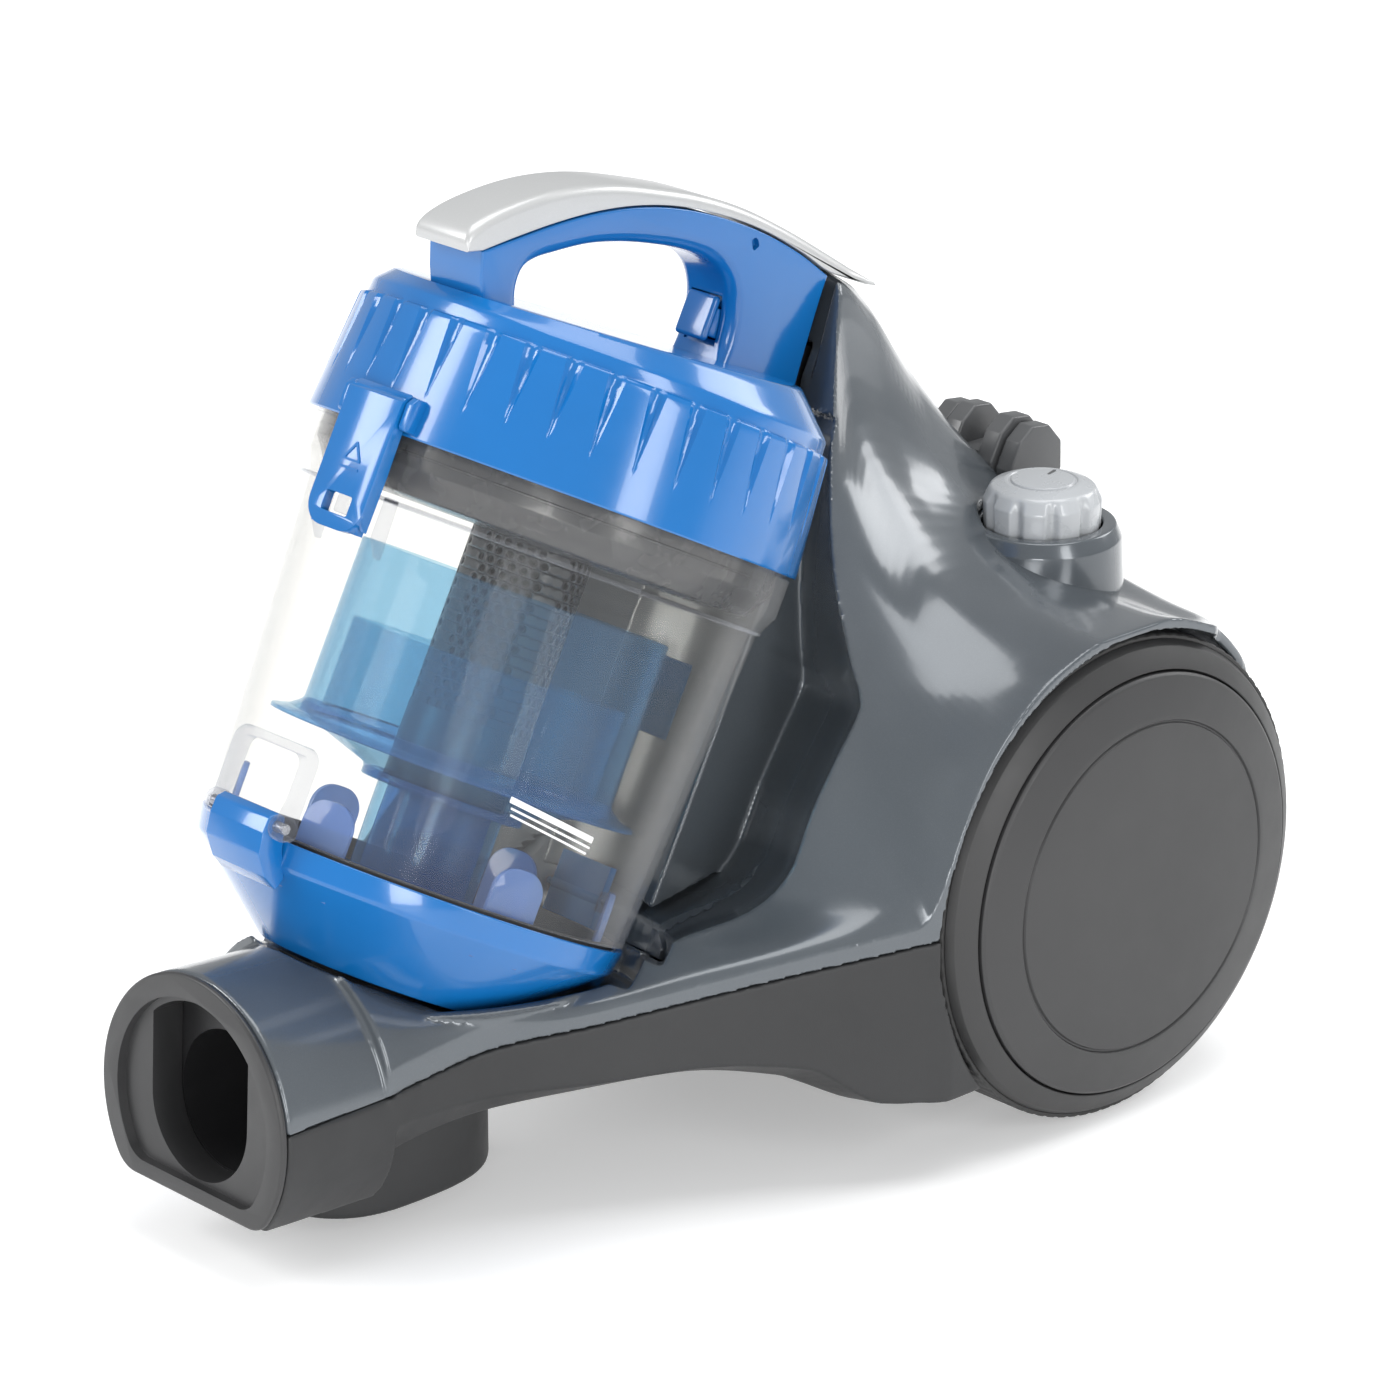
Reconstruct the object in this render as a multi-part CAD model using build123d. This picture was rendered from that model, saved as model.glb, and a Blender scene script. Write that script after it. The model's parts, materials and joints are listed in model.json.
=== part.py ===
# Bagless canister vacuum cleaner, built as an assembly of separate pieces.
# Frame: millimetres, +Z up, the hose inlet faces -Y, X = 0 is the plane of symmetry,
# origin on the floor under the centre of the footprint.
from build123d import *
import os
import math

os.makedirs("parts", exist_ok=True)

# ---------------------------------------------------------------- driving dimensions
LENGTH_Y = 196.0            # inlet mouth and wheel rear are both this far from the origin
WALL = 2.6                  # moulded shell wall
# rear wheels
WHEEL_R = 85.7
WHEEL_Y, WHEEL_Z = 110.3, 85.7
WHEEL_X_IN, WHEEL_X_FACE = 98.0, 134.0
WELL_R, WELL_X = 88.5, 88.0
AXLE_R = 8.0
RUN_FIT = 0.05              # radial running clearance
# dust bin axis: leans back by this angle, through the centre of the cap's lower rim
BIN_TILT = 27.9
BIN_O = (0.0, -37.3, 228.4)
CAP_R0, CAP_R1, CAP_H = 85.2, 81.7, 42.0
COLLAR_R = 83.6
SHELL_R0, SHELL_R1, SHELL_BOT = 79.2, 73.2, -133.5
DOOR_R0, DOOR_R1, DOOR_R2 = 73.6, 72.3, 41.0
DOOR_S1, DOOR_S2 = -143.0, -169.5
# inlet
NECK_O = (0.0, -196.0, 54.0)
NECK_TILT = 3.1
NECK_R = 47.2
SOCKET_R = 24.0
# controls
KNOB_X, KNOB_Y, KNOB_RIM_Z, KNOB_R = 55.0, 139.0, 190.0, 20.5
# swivel wheel under the nose
CASTER_Y, CASTER_R, CASTER_TRAIL = -118.0, 13.0, 9.0
# case screws from below: x, y, z of the pan floor
GLAND_Y = 197.7             # rear end of the cord outlet, level with the inlet mouth about the origin
SCREWS = ((68, -4, 33.0), (-68, -4, 33.0), (78, 165, 29.4), (-78, 165, 29.4))

T = math.radians(BIN_TILT)
BIN = Plane(origin=BIN_O, x_dir=(1, 0, 0), z_dir=(0, math.sin(T), math.cos(T)))
N = math.radians(NECK_TILT)
NECK = Plane(origin=NECK_O, x_dir=(1, 0, 0), z_dir=(0, -math.cos(N), math.sin(N)))
MIN3 = (Align.CENTER, Align.CENTER, Align.MIN)
MAX3 = (Align.CENTER, Align.CENTER, Align.MAX)


def save(shape, name):
    if isinstance(shape, (list, tuple, ShapeList)):
        shape = Compound(children=list(shape))
    shape.label = name
    export_step(shape, "parts/" + name + ".step")


def rev(pts, axis=Axis.Z):
    """Solid of revolution about Z from (radius, height) points."""
    return revolve(make_face(Plane.XZ * Polyline(*pts, close=True)), axis)


def revx(pts):
    """Solid of revolution about X from (x, radius) points."""
    return revolve(make_face(Polyline(*[(x, r) for x, r in pts], close=True)), Axis.X)


def cyl(p, d, r, h):
    """Cylinder of radius r and length h from point p along d."""
    return Plane(origin=p, z_dir=d) * Cylinder(r, h, align=MIN3)


def box(x0, x1, y0, y1, z0, z1):
    return Pos((x0 + x1) / 2, (y0 + y1) / 2, (z0 + z1) / 2) * Box(x1 - x0, y1 - y0, z1 - z0)


def inbin(shape):
    return BIN * shape


def one(shape):
    s = shape.solids()
    return s[0] if len(s) == 1 else max(s, key=lambda q: q.volume)


# ---------------------------------------------------------------- chassis cross-sections
# y station: half-section of the upper housing from the parting line (first) to the crest (last)
UP = {
    -151: [(46, 60.5), (46.3, 63), (46, 68), (43, 76), (37, 85), (28, 93), (16, 99.5), (6, 102), (0, 102.3)],
    -140: [(46.6, 62), (46.9, 65.5), (46.6, 70), (44, 77), (39, 83), (30, 88), (18, 90.5), (8, 90.8), (0, 90.9)],
    -117: [(49.6, 65.8), (49.8, 70), (49.6, 74), (48.5, 77.5), (46, 79), (38, 79.5), (25, 79.6), (10, 79.7), (0, 79.8)],
    -80: [(69.5, 72), (69.8, 77), (68, 79.5), (64, 81), (58, 82), (50, 83), (35, 83.6), (15, 84), (0, 84.2)],
    -50: [(85.7, 77.3), (86, 82.8), (83, 85.5), (77, 87.5), (70, 89.5), (62, 92), (45, 96), (20, 98), (0, 98.4)],
    -18: [(102.9, 82.7), (103.2, 88.7), (99, 91.8), (91, 93.6), (82, 95), (72, 98), (60, 108), (35, 130), (0, 140)],
    6: [(115.8, 86.3), (116.1, 92.7), (111, 97.5), (102, 102.5), (90, 111), (78, 124), (62, 145), (40, 168), (0, 178)],
    16: [(121.2, 88), (121.5, 94.6), (116.5, 102), (106, 110.5), (92, 124), (79, 141), (64, 160), (42, 184), (0, 196)],
    27: [(126, 89), (126, 119), (120.5, 124.5), (109, 132), (95, 142), (80, 156.5), (65, 176), (44, 200), (0, 214)],
    40: [(126, 89), (126, 143), (119, 147), (104, 154), (86, 165), (69, 180), (54, 196), (38, 214), (0, 236)],
    54: [(126, 89), (126, 157.5), (116, 160.5), (98, 167), (78, 179), (59, 196), (44, 215), (33, 236), (0, 252)],
    76: [(126, 89), (126, 170.8), (113, 172), (90, 178), (66, 189), (42, 211), (26, 240), (17, 280), (0, 282)],
    97: [(126, 89), (126, 176.4), (111, 176.6), (88, 179.5), (64, 188), (40, 204), (24, 229), (13, 264), (0, 273)],
    124: [(126, 89), (126, 176.4), (109, 175.5), (88, 176), (64, 182.5), (42, 193), (24, 209), (9, 231), (0, 240)],
    150: [(126, 89), (126, 168.3), (110, 166.5), (88, 168), (64, 173), (42, 181), (24, 191), (9, 204), (0, 209)],
    165: [(114, 89), (114, 160), (106, 162.5), (88, 164), (64, 168), (42, 174), (24, 182), (9, 190), (0, 192)],
    180: [(114, 89), (113, 145), (104, 150), (88, 153), (64, 156), (42, 160), (24, 164), (9, 167), (0, 168)],
    190: [(108, 89), (107, 129), (100, 134), (88, 137), (64, 140), (42, 142), (24, 144), (9, 145), (0, 145.5)],
}
# y station: half-section of the base pan from the bottom centre (first) to the parting line (last)
LO = {
    -151: [(0, 26), (20, 26), (36, 32), (45.8, 48), (46, 60.2)],
    -140: [(0, 33.2), (27, 33.2), (39, 38), (46.4, 50), (46.6, 61.7)],
    -117: [(0, 33.2), (27, 33.2), (43, 42), (49.4, 50), (49.6, 65.5)],
    -80: [(0, 33.4), (30, 34.4), (58, 45), (69.2, 51), (69.5, 71.7)],
    -50: [(0, 34), (40, 36), (73, 47), (85.4, 52.5), (85.7, 77)],
    -18: [(0, 34), (55, 36), (88, 41), (102.6, 48), (102.9, 82.4)],
    6: [(0, 29), (70, 29), (102, 29.5), (115.5, 32), (115.8, 86)],
    16: [(0, 28), (75, 28), (107, 28.5), (121, 31), (121.2, 87.7)],
    27: [(0, 28), (80, 28), (110, 28), (125.8, 30), (126, 88.7)],
    40: [(0, 28), (80, 28), (110, 28), (125.8, 30), (126, 88.7)],
    54: [(0, 28), (80, 28), (110, 28), (125.8, 30), (126, 88.7)],
    76: [(0, 28), (80, 28), (110, 28), (125.8, 30), (126, 88.7)],
    97: [(0, 28), (80, 28), (110, 28), (125.8, 30), (126, 88.7)],
    124: [(0, 28), (80, 28), (110, 28), (125.8, 30), (126, 88.7)],
    150: [(0, 28), (80, 28), (110, 28), (125.8, 30), (126, 88.7)],
    165: [(0, 29), (78, 29), (100, 31), (113.8, 34), (114, 88.7)],
    180: [(0, 33), (76, 33), (98, 36), (113.8, 40), (114, 88.7)],
    190: [(0, 42), (72, 42), (92, 45), (107.8, 52), (108, 88.7)],
}
YS = sorted(UP)


def inset(pts, t):
    """Move an open half-section polyline inward (towards the axis and away from the skin)."""
    out = []
    for i, (x, z) in enumerate(pts):
        a = pts[max(i - 1, 0)]
        b = pts[min(i + 1, len(pts) - 1)]
        dx, dz = b[0] - a[0], b[1] - a[1]
        n = math.hypot(dx, dz)
        out.append((x - t * abs(dz) / n, z - t * abs(dx) / n * (1 if dx < 0 else -1)))
    out[-1] = (0, pts[-1][1] - t if pts[-1][1] > pts[0][1] else pts[-1][1])
    return out


def section(y, pts):
    full = [(x, z) for x, z in pts] + [(-x, z) for x, z in reversed(pts) if x > 1e-6]
    return Plane(origin=(0, y, 0), x_dir=(1, 0, 0), z_dir=(0, -1, 0)) * Polyline(*full, close=True)


def loft_of(table):
    faces = [make_face(section(y, table[y])) for y in sorted(table)]
    return loft(faces, ruled=True)


def shrink_y(table, t):
    """Same table with its two end stations moved inward by t."""
    ys = sorted(table)
    new = {}
    for i, y in enumerate(ys):
        yy = y + t if i == 0 else (y - t if i == len(ys) - 1 else y)
        new[yy] = table[y]
    return new


up_outer = loft_of(UP)
up_deep = {y: [(UP[y][0][0], 36.0)] + UP[y][1:] for y in YS}
up_deep_solid = loft_of(up_deep)
up_in = {}
for y in YS:
    q = inset(UP[y], WALL)
    q[0] = (q[1][0], UP[y][0][1] - 6)
    up_in[y] = q
up_inner = loft_of(shrink_y(up_in, WALL))

lo_outer = loft_of(LO)
lo_in = {}
for y in YS:
    p = LO[y]
    q = [(0, p[0][1] + WALL), (p[1][0] - 1, p[1][1] + WALL), (p[2][0] - 2, p[2][1] + WALL),
         (p[3][0] - WALL, p[3][1] + 1.5), (p[4][0] - WALL, p[4][1] + 6)]
    lo_in[y] = q
lo_inner = loft_of(shrink_y(lo_in, WALL))

# ---------------------------------------------------------------- cradle cutters (bin frame)
BARREL = [(0, 135), (76, 135), (79, 100), (88.5, 45), (100, 5), (112.5, -19), (120.5, -33), (118.5, -52),
          (117, -72), (117.2, -88), (114.5, -99), (108.5, -108), (89.5, -124), (82, -132), (0, -132)]


def barrel(t):
    pts = [(0, 150)] + [(r + t, s) for r, s in BARREL[1:-1]] + [(0, BARREL[-1][1] - t)]
    pts[1] = (76 + t, 150)
    pts[-2] = (82 + t, -132 - t)
    return rev(pts)


def seat(t):
    """The recess the bin bottom stands in, grown by t."""
    return rev([(0, -171.2 - t), (42.6 + 0.55 * t, -171.2 - t), (74.6 + t, -145.0 - 0.4 * t),
                (81.5 + t, -144.6 - 0.4 * t), (81.5 + t, -120), (0, -120)])


def cradle(t):
    pier = box(-28 + t, 28 - t, 0, 160, -140, 56 - t)
    b = barrel(t) - pier
    back = Pos(0, 0, -134) * Cylinder(88.0 + t, 190, align=MIN3)
    slot = box(-14.8 - t, 14.8 + t, 0, 83.6 + t, 40, 150)
    return inbin(b + back + slot + seat(t))


cut0 = cradle(0)
cutT = cradle(WALL)


def wells(t):
    a = cyl((WELL_X - t, WHEEL_Y, WHEEL_Z), (1, 0, 0), WELL_R + t, 60)
    return a + mirror(a, Plane.YZ)


w0, wT = wells(0), wells(WALL)

# ---------------------------------------------------------------- neck
neck_solid = NECK * (Pos(0, 0, -48) * Cylinder(NECK_R, 45.2, align=MIN3))
neck_hole = NECK * (Pos(0, 0, -60) * Cylinder(NECK_R - WALL, 60, align=MIN3))
neck_solid = neck_solid - NECK * box(-60, 60, -60, -31.4, -70, 10)
upper_half = box(-60, 60, -260, -120, 60.0, 140)
lower_half = box(-60, 60, -260, -120, 0, 59.7)
neck_flat = NECK * box(-60, 60, -60, -31.4 + WALL, -70, 10)

# ---------------------------------------------------------------- upper housing
outer = up_outer + (neck_solid & upper_half)
body = outer - cut0 - w0
cavity = (up_inner + (neck_hole & box(-60, 60, -260, -120, 50, 140))) - cutT - wT
upper = body - cavity
cup_ring = inbin(seat(WALL)) - inbin(seat(0)) - cut0
cup = cup_ring & up_deep_solid & box(-200, 200, -200, 60, 30, 110)
upper = upper + cup
# closed floor of the cradle, hanging down inside the base pan
lo_clear = {}
for y in YS:
    p = LO[y]
    lo_clear[y] = [(0, p[0][1] + WALL + 1), (p[1][0] - 2, p[1][1] + WALL + 1), (p[2][0] - 3, p[2][1] + WALL + 1),
                   (p[3][0] - WALL - 0.6, p[3][1] + 2.5), (p[4][0] - WALL - 0.6, p[4][1] + 40)]
tray = (cutT - cut0) & up_deep_solid & loft_of(shrink_y(lo_clear, WALL + 0.6)) & box(-200, 200, -60, 200, 44, 110)
upper = upper + tray
# round hole for the axle bosses, rear grille opening, knob holes, intake port, outlet port
for sx in (1, -1):
    upper = upper - cyl((sx * 80, WHEEL_Y, WHEEL_Z), (sx, 0, 0), 15.0, 12)
    upper = upper - cyl((sx * KNOB_X, KNOB_Y, 140), (0, 0, 1), 22.0, 80)
    for x, y, z, top in ((68, -4, 37, 96), (78, 165, 34.5, 161)):
        upper = upper + cyl((sx * x, y, z), (0, 0, 1), 5.0, top - z) - cyl((sx * x, y, z - 1), (0, 0, 1), 2.0, 17)
upper = upper - box(-56, 56, 180, 200, 97, 133)
upper = upper - inbin(Pos(0, 0, -180) * Cylinder(17.2, 14, align=MIN3))
upper = upper - inbin(Pos(0, 80, 18) * Rot(-90, 0, 0) * Cylinder(15.2, 16, align=MIN3))
upper = upper - inbin(box(-9, 9, 80, 108, 60.5, 78))        # window of the lock catch
upper_housing = one(upper)
save(upper_housing, "upper_housing")

# ---------------------------------------------------------------- base pan
def boat(t, z0, z1):
    """Boat-shaped swivel-wheel housing: half-width 27, from y -161 to -77."""
    s = Polyline((0, -161 + t), (13, -158 + t), (22 - 0.6 * t, -150 + 0.5 * t), (27 - t, -138), (27 - t, -104),
                 (22 - 0.8 * t, -90 - 0.5 * t), (12, -80 - t), (0, -77 - t), (-12, -80 - t),
                 (-22 + 0.8 * t, -90 - 0.5 * t), (-27 + t, -104), (-27 + t, -138), (-22 + 0.6 * t, -150 + 0.5 * t),
                 (-13, -158 + t), close=True)
    return Pos(0, 0, z0) * extrude(make_face(s), z1 - z0, dir=(0, 0, 1))


neck_low = (neck_solid & lower_half)
base = (lo_outer + neck_low + boat(0, 8, 40)) - w0
base_cav = lo_inner + ((neck_hole - neck_flat) & box(-60, 60, -200, -146, 0, 70))
base = base - base_cav
base = base + (box(-26, 26, -146.5, -141.0, 26, 35.6))
base = base - (boat(WALL, -5, 33.0) & box(-40, 40, -143.9, -70, -5, 33))
base = base - (boat(WALL, -5, 33.0) & box(-40, 40, -170, -146.5, -5, 20))
base = base - inbin(seat(WALL + 0.6))
base = base + cyl((0, CASTER_Y, 30.6), (0, 0, 1), 7.0, 6.4) - cyl((0, CASTER_Y, 20), (0, 0, 1), 3.0 + RUN_FIT, 30)
for sx in (1, -1):
    base = base + cyl((sx * 83, WHEEL_Y, WHEEL_Z), (sx, 0, 0), 14.0, 14.4)
    base = base - cyl((sx * 80, WHEEL_Y, WHEEL_Z), (sx, 0, 0), AXLE_R, 30)
base = base - cyl((52, 180, 66), (0, 1, 0), 9.0, 20)           # cord gland hole
base = base - box(-60, 60, -152, -147.4, 59.7, 72)
screws = []
for x, y, z in SCREWS:
    screws.append(one(cyl((x, y, z + 2.0), (0, 0, 1), 2.0, 16) + cyl((x, y, z - 0.6), (0, 0, 1), 4.0, 2.6)))
base = base - screws
base_pan = one(base)
save(base_pan, "base_pan")

# ---------------------------------------------------------------- inlet collar, ducts and gaskets
slot2d = (Cylinder(36.0, 30, align=MAX3) & box(-24.6, 24.6, 0, 36, -40, 10)) + Cylinder(24.6, 30, align=MAX3)
collar = Cylinder(NECK_R + 0.3, 2.5, align=MAX3) + (Pos(0, 0, -2.5) * Cylinder(NECK_R - WALL - 0.4, 13.5, align=MAX3))
collar = collar - box(-60, 60, -60, -31.4, -70, 10)
collar = collar - (box(-60, 60, -60, -31.4 + WALL + 0.4, -70, -2.5))
collar = collar - slot2d
collar = collar - (Cylinder(38.4, 2.4, align=MAX3) & box(-40, 40, -26.7, 40, -10, 10))
save(one(NECK * collar), "inlet_collar")
sock = Pos(0, 0, -16.2) * Cylinder(27.5, 32, align=MAX3) - Pos(0, 0, -10) * Cylinder(SOCKET_R, 60, align=MAX3)
sock = sock + (Pos(0, 0, -16.2) * Cylinder(40.0, 2.5, align=MAX3) - Pos(0, 0, -10) * Cylinder(SOCKET_R, 60, align=MAX3))
sock = sock - box(-60, 60, -60, -28.4, -70, 10)
save(one(NECK * sock), "hose_socket")

D0 = Vector(0, -147.6, 53.4)
D1 = Vector(0, -128.5, 58.2)
dd = (D1 - D0)
elbow_o = cyl(D0, dd, 17.0, dd.length) + inbin(Pos(0, 0, -193) * Cylinder(17.0, 18.6, align=MIN3)) + Pos(D1.X, D1.Y, D1.Z) * Sphere(17.0)
elbow_i = cyl(D0 - dd.normalized() * 2, dd, 15.0, dd.length + 2) + inbin(Pos(0, 0, -193) * Cylinder(15.0, 30, align=MIN3)) + Pos(D1.X, D1.Y, D1.Z) * Sphere(15.0)
save(one((elbow_o - elbow_i) - NECK * box(-60, 60, -80, 80, -49.0, 20)), "intake_elbow")
save(one(inbin(Pos(0, 0, -171.1) * (Cylinder(22.0, 1.3, align=MIN3) - Cylinder(15.0, 1.3, align=MIN3)))), "intake_gasket")
gk = Pos(0, 70, 18) * Rot(-90, 0, 0) * (Cylinder(20.0, 20, align=MIN3) - Cylinder(14.0, 20, align=MIN3))
gk = gk & rev([(85.6, -20), (88.0, -20), (88.0, 60), (85.6, 60)])
save(one(inbin(gk)), "outlet_gasket")
P = BIN.from_local_coords(Vector(0, 97, 18))
mot_in = Vector(-88, 112, 130)
DUCT = [P, Vector(-34, 78, 168), Vector(-77.5, 104, 138)]
duct_o = inbin(Pos(0, 88.3, 18) * Rot(-90, 0, 0) * Cylinder(15.0, 9, align=MIN3))
duct_i = inbin(Pos(0, 80.0, 18) * Rot(-90, 0, 0) * Cylinder(13.0, 18, align=MIN3))
keep = inbin(box(-60, 60, 91.0, 260, -260, 260) + Pos(0, 88.3, 18) * Rot(-90, 0, 0) * Cylinder(15.0, 9, align=MIN3))
a, b = P, Vector(-31, 92, 157)
duct_o = duct_o + Pos(a.X, a.Y, a.Z) * Sphere(15.0) + cyl(a, b - a, 15.0, (b - a).length)
duct_i = duct_i + Pos(a.X, a.Y, a.Z) * Sphere(13.0) + cyl(a, b - a, 13.0, (b - a).length + 3)
save(one((duct_o & keep) - duct_i), "motor_air_duct")

# ---------------------------------------------------------------- rear wheels
wheel_pts = [(98, 83.9), (121.5, 83.9), (124.3, 82.2), (129, 75.1), (126, 75.1), (125.5, 74), (125.5, 8 + RUN_FIT),
             (98, 8 + RUN_FIT), (98, 16), (121.5, 16), (122.5, 20), (122.5, 74), (120.5, 78), (118, 81.4), (98, 81.4)]
tyre_pts = [(99.5, 83.9), (99.5, 85.2), (100.2, 85.7), (121.0, 85.7), (121.4, 85.3), (121.4, 83.9)]
cap_pts = [(126.3, 74.4), (129.3, 74.4), (132.6, 61), (133.0, 58.6), (132.2, 58.2), (132.2, 57.8), (133.2, 57.4), (134, 0), (131.4, 0), (130.6, 57),
           (127, 72)]
for name, sx in (("right", 1), ("left", -1)):
    def put(s):
        s = Pos(0, WHEEL_Y, WHEEL_Z) * s
        return s if sx == 1 else mirror(s, Plane.YZ)
    w = revx(wheel_pts)
    for k in range(6):
        a = math.radians(60 * k)
        w = w + Rot(60 * k, 0, 0) * box(105, 122.8, -1.5, 1.5, 15, 82)
    save(one(put(w)), "rear_wheel_" + name)
    save(one(put(revx(tyre_pts))), "tyre_" + name)
    save(one(put(revx(cap_pts))), "wheel_cap_" + name)
ax = revx([(83.2, 0), (83.2, 8.0), (128.3, 8.0), (129.0, 7.0), (129.0, 0)])
ax = ax - revx([(127.0, 6.4), (128.0, 6.4), (128.0, 9), (127.0, 9)])
ax = one(Pos(0, WHEEL_Y, WHEEL_Z) * ax)
save([ax, mirror(ax, Plane.YZ)], "rear_axles")
clip = revx([(127.05, 6.45), (127.95, 6.45), (127.95, 11), (127.05, 11)]) - box(120, 135, -2, 2, 0, 20)
clip = Pos(0, WHEEL_Y, WHEEL_Z) * clip
save([clip, mirror(clip, Plane.YZ)], "axle_clips")

# ---------------------------------------------------------------- swivel wheel
cz = CASTER_R
fork = cyl((0, CASTER_Y, 27.0), (0, 0, 1), 19.0, 3.2) + cyl((0, CASTER_Y, 27.0), (0, 0, 1), 3.0, 11.8)
for sx in (1, -1):
    x0, x1 = sorted((sx * 8.2, sx * 11.0))
    fork = fork + box(x0, x1, CASTER_Y + 1, CASTER_Y + 17, cz - 1, 28) + cyl((x0, CASTER_Y + CASTER_TRAIL, cz), (1, 0, 0), 5.5, 2.8)
fork = fork - cyl((-20, CASTER_Y + CASTER_TRAIL, cz), (1, 0, 0), 2.02, 40)
save(one(fork), "caster_fork")
cw = cyl((-7.5, CASTER_Y + CASTER_TRAIL, cz), (1, 0, 0), CASTER_R, 15) - cyl((-9, CASTER_Y + CASTER_TRAIL, cz), (1, 0, 0), 2.0 + RUN_FIT, 18)
cw = cw - (cyl((6.2, CASTER_Y + CASTER_TRAIL, cz), (1, 0, 0), 10, 3) - cyl((6.2, CASTER_Y + CASTER_TRAIL, cz), (1, 0, 0), 4, 3))
cw = cw - (cyl((-9.2, CASTER_Y + CASTER_TRAIL, cz), (1, 0, 0), 10, 3) - cyl((-9.2, CASTER_Y + CASTER_TRAIL, cz), (1, 0, 0), 4, 3))
save(one(cw), "caster_wheel")
save(one(cyl((-11.0, CASTER_Y + CASTER_TRAIL, cz), (1, 0, 0), 2.0, 22.0)), "caster_axle")
cc = cyl((0, CASTER_Y, 37.2), (0, 0, 1), 6.0, 1.0) - cyl((0, CASTER_Y, 37), (0, 0, 1), 3.0, 3)
save(one(cc), "caster_retainer")

# ---------------------------------------------------------------- dust bin (bin frame: z along axis, +y to the rear)
PIN_Y, PIN_Z, PIN_R = -79.0, -130.5, 1.7
shell = rev([(79.8, 14), (81.7, 14), (81.7, -1.0), (COLLAR_R, -1.0), (COLLAR_R, -15), (SHELL_R0, -23),
             (SHELL_R1, SHELL_BOT), (SHELL_R1 - 2.4, SHELL_BOT), (SHELL_R0 - 2.4, -23), (79.8, -13)])
for sx in (1, -1):
    x0, x1 = sorted((sx * 14.0, sx * 18.4))
    ear = box(x0, x1, -82.5, -72.4, -134.5, -126.5) + box(x0, x1, -80.6, -73.6, -127, -103.5)
    shell = shell + ear
shell = shell + box(-18.4, 18.4, -80.6, -77.6, -106.5, -103.5)
shell = shell - cyl((-30, PIN_Y, PIN_Z), (1, 0, 0), PIN_R + 0.02, 60)
shell = shell + box(-4.5, 4.5, -86.3, -78, -30, -23.5)
for sx in (1, -1):
    x0, x1 = sorted((sx * 13.8, sx * 15.6))
    shell = shell + box(x0, x1, -84.0, -78, -40, -20)
for sx in (1, -1):
    x0, x1 = sorted((sx * 12.6, sx * 15.4))
    br = box(x0, x1, 71.5, 80.4, -127.5, -120.5) - rev([(0, -130), (72.4, -130), (72.9, -115), (0, -115)])
    shell = shell + br - cyl((x0 - 1, 77.6, -124), (1, 0, 0), 1.2 + RUN_FIT, 6)
dust_bin = one(inbin(shell))
save(dust_bin, "dust_bin")
save(one(inbin(cyl((-18.4, PIN_Y, PIN_Z), (1, 0, 0), PIN_R, 36.8))), "door_hinge_pin")

door = rev([(17.4, DOOR_S2), (DOOR_R2, DOOR_S2), (DOOR_R1, DOOR_S1), (DOOR_R0, -134.4), (71.4, -134.4), (69.8, -142.6),
            (40.2, -167.1), (20.2, -167.1), (20.2, -160), (17.4, -160)])
for k, a in enumerate((286, 346, 46, 106, 166, 226)):
    fin = Rot(0, 0, a) * box(62.5, 65.0, -9, 9, -149, -115.5)
    fin = fin & (Rot(0, 0, a) * (box(60, 70, -9, 9, -150, -124.5) + Pos(60, 0, -124.5) * Rot(0, 90, 0) * Cylinder(9, 10, align=MIN3)))
    door = door + fin
knuckle = cyl((-13.6, PIN_Y, PIN_Z), (1, 0, 0), 4.0, 27.2) + box(-13.6, 13.6, -83.0, -78.0, -139.5, -130.5) + box(-13.6, 13.6, -83, -71.5, -142, -136)
door = door + knuckle - cyl((-30, PIN_Y, PIN_Z), (1, 0, 0), PIN_R + RUN_FIT, 60)
door = door - (rev([(0, -150), (71.3, -150), (71.3, -130), (0, -130)]) & box(-20, 20, -72, -70.5, -140, -130))
save(one(inbin(door)), "bin_door")
save(one(inbin(rev([(66.6, -140.5), (69.4, -140.5), (69.8, -133.2), (67.2, -133.2)]))), "door_seal")
# door release lever at the back of the bin
lev = box(-12, 12, 75.6, 78.4, -142, -112) + box(-12, 12, 74.6, 78.4, -142, -138) - box(-8, 8, 70, 75.2, -150, -100)
lev = lev + cyl((-12, 77.6, -124), (1, 0, 0), 2.6, 24) + cyl((-15.2, 77.6, -124), (1, 0, 0), 1.2, 30.4)
save(one(inbin(lev)), "door_release_lever")

# ---------------------------------------------------------------- separator pieces inside the bin
save(one(inbin(rev([(20.4, -33), (79.3, -7), (79.3, 11), (77.2, 11), (77.2, -4), (20.4, -30)]) )), "filter_frame")
save(one(inbin(rev([(79.9, 14.05), (81.7, 14.05), (81.7, 15.6), (79.9, 15.6)]))), "lid_seal")
save(one(inbin(Pos(0, 0, -1.5) * Cylinder(76.8, 13, align=MIN3))), "pre_motor_filter")
shroud = rev([(26.4, -34.6), (54.0, -34.6), (54.0, -91.5), (63.5, -95.8), (63.5, -98.2), (53.0, -95.6), (23.0, -111), (20.4, -111),
              (20.4, -109.4), (22.4, -109.4), (52.0, -93.8), (52.0, -36.8), (26.4, -36.8)])
save(one(inbin(shroud)), "cyclone_shroud")
mesh = rev([(24.5, -34.4), (26.2, -34.4), (26.2, -80), (24.5, -80)])
holes = []
for k in range(18):
    for j in range(4):
        holes.append(Pos(0, 0, -44 - 9 * j) * Rot(0, 0, 20 * k + (10 if j % 2 else 0)) * (Pos(20, 0, 0) * Rot(0, 90, 0) * Cylinder(2.4, 10, align=MIN3)))
mesh = mesh - holes
save(one(inbin(mesh)), "mesh_screen")
save(one(inbin(rev([(18.2, -150), (20.2, -150), (20.2, -34), (18.2, -34)]))), "intake_tube")

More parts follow.
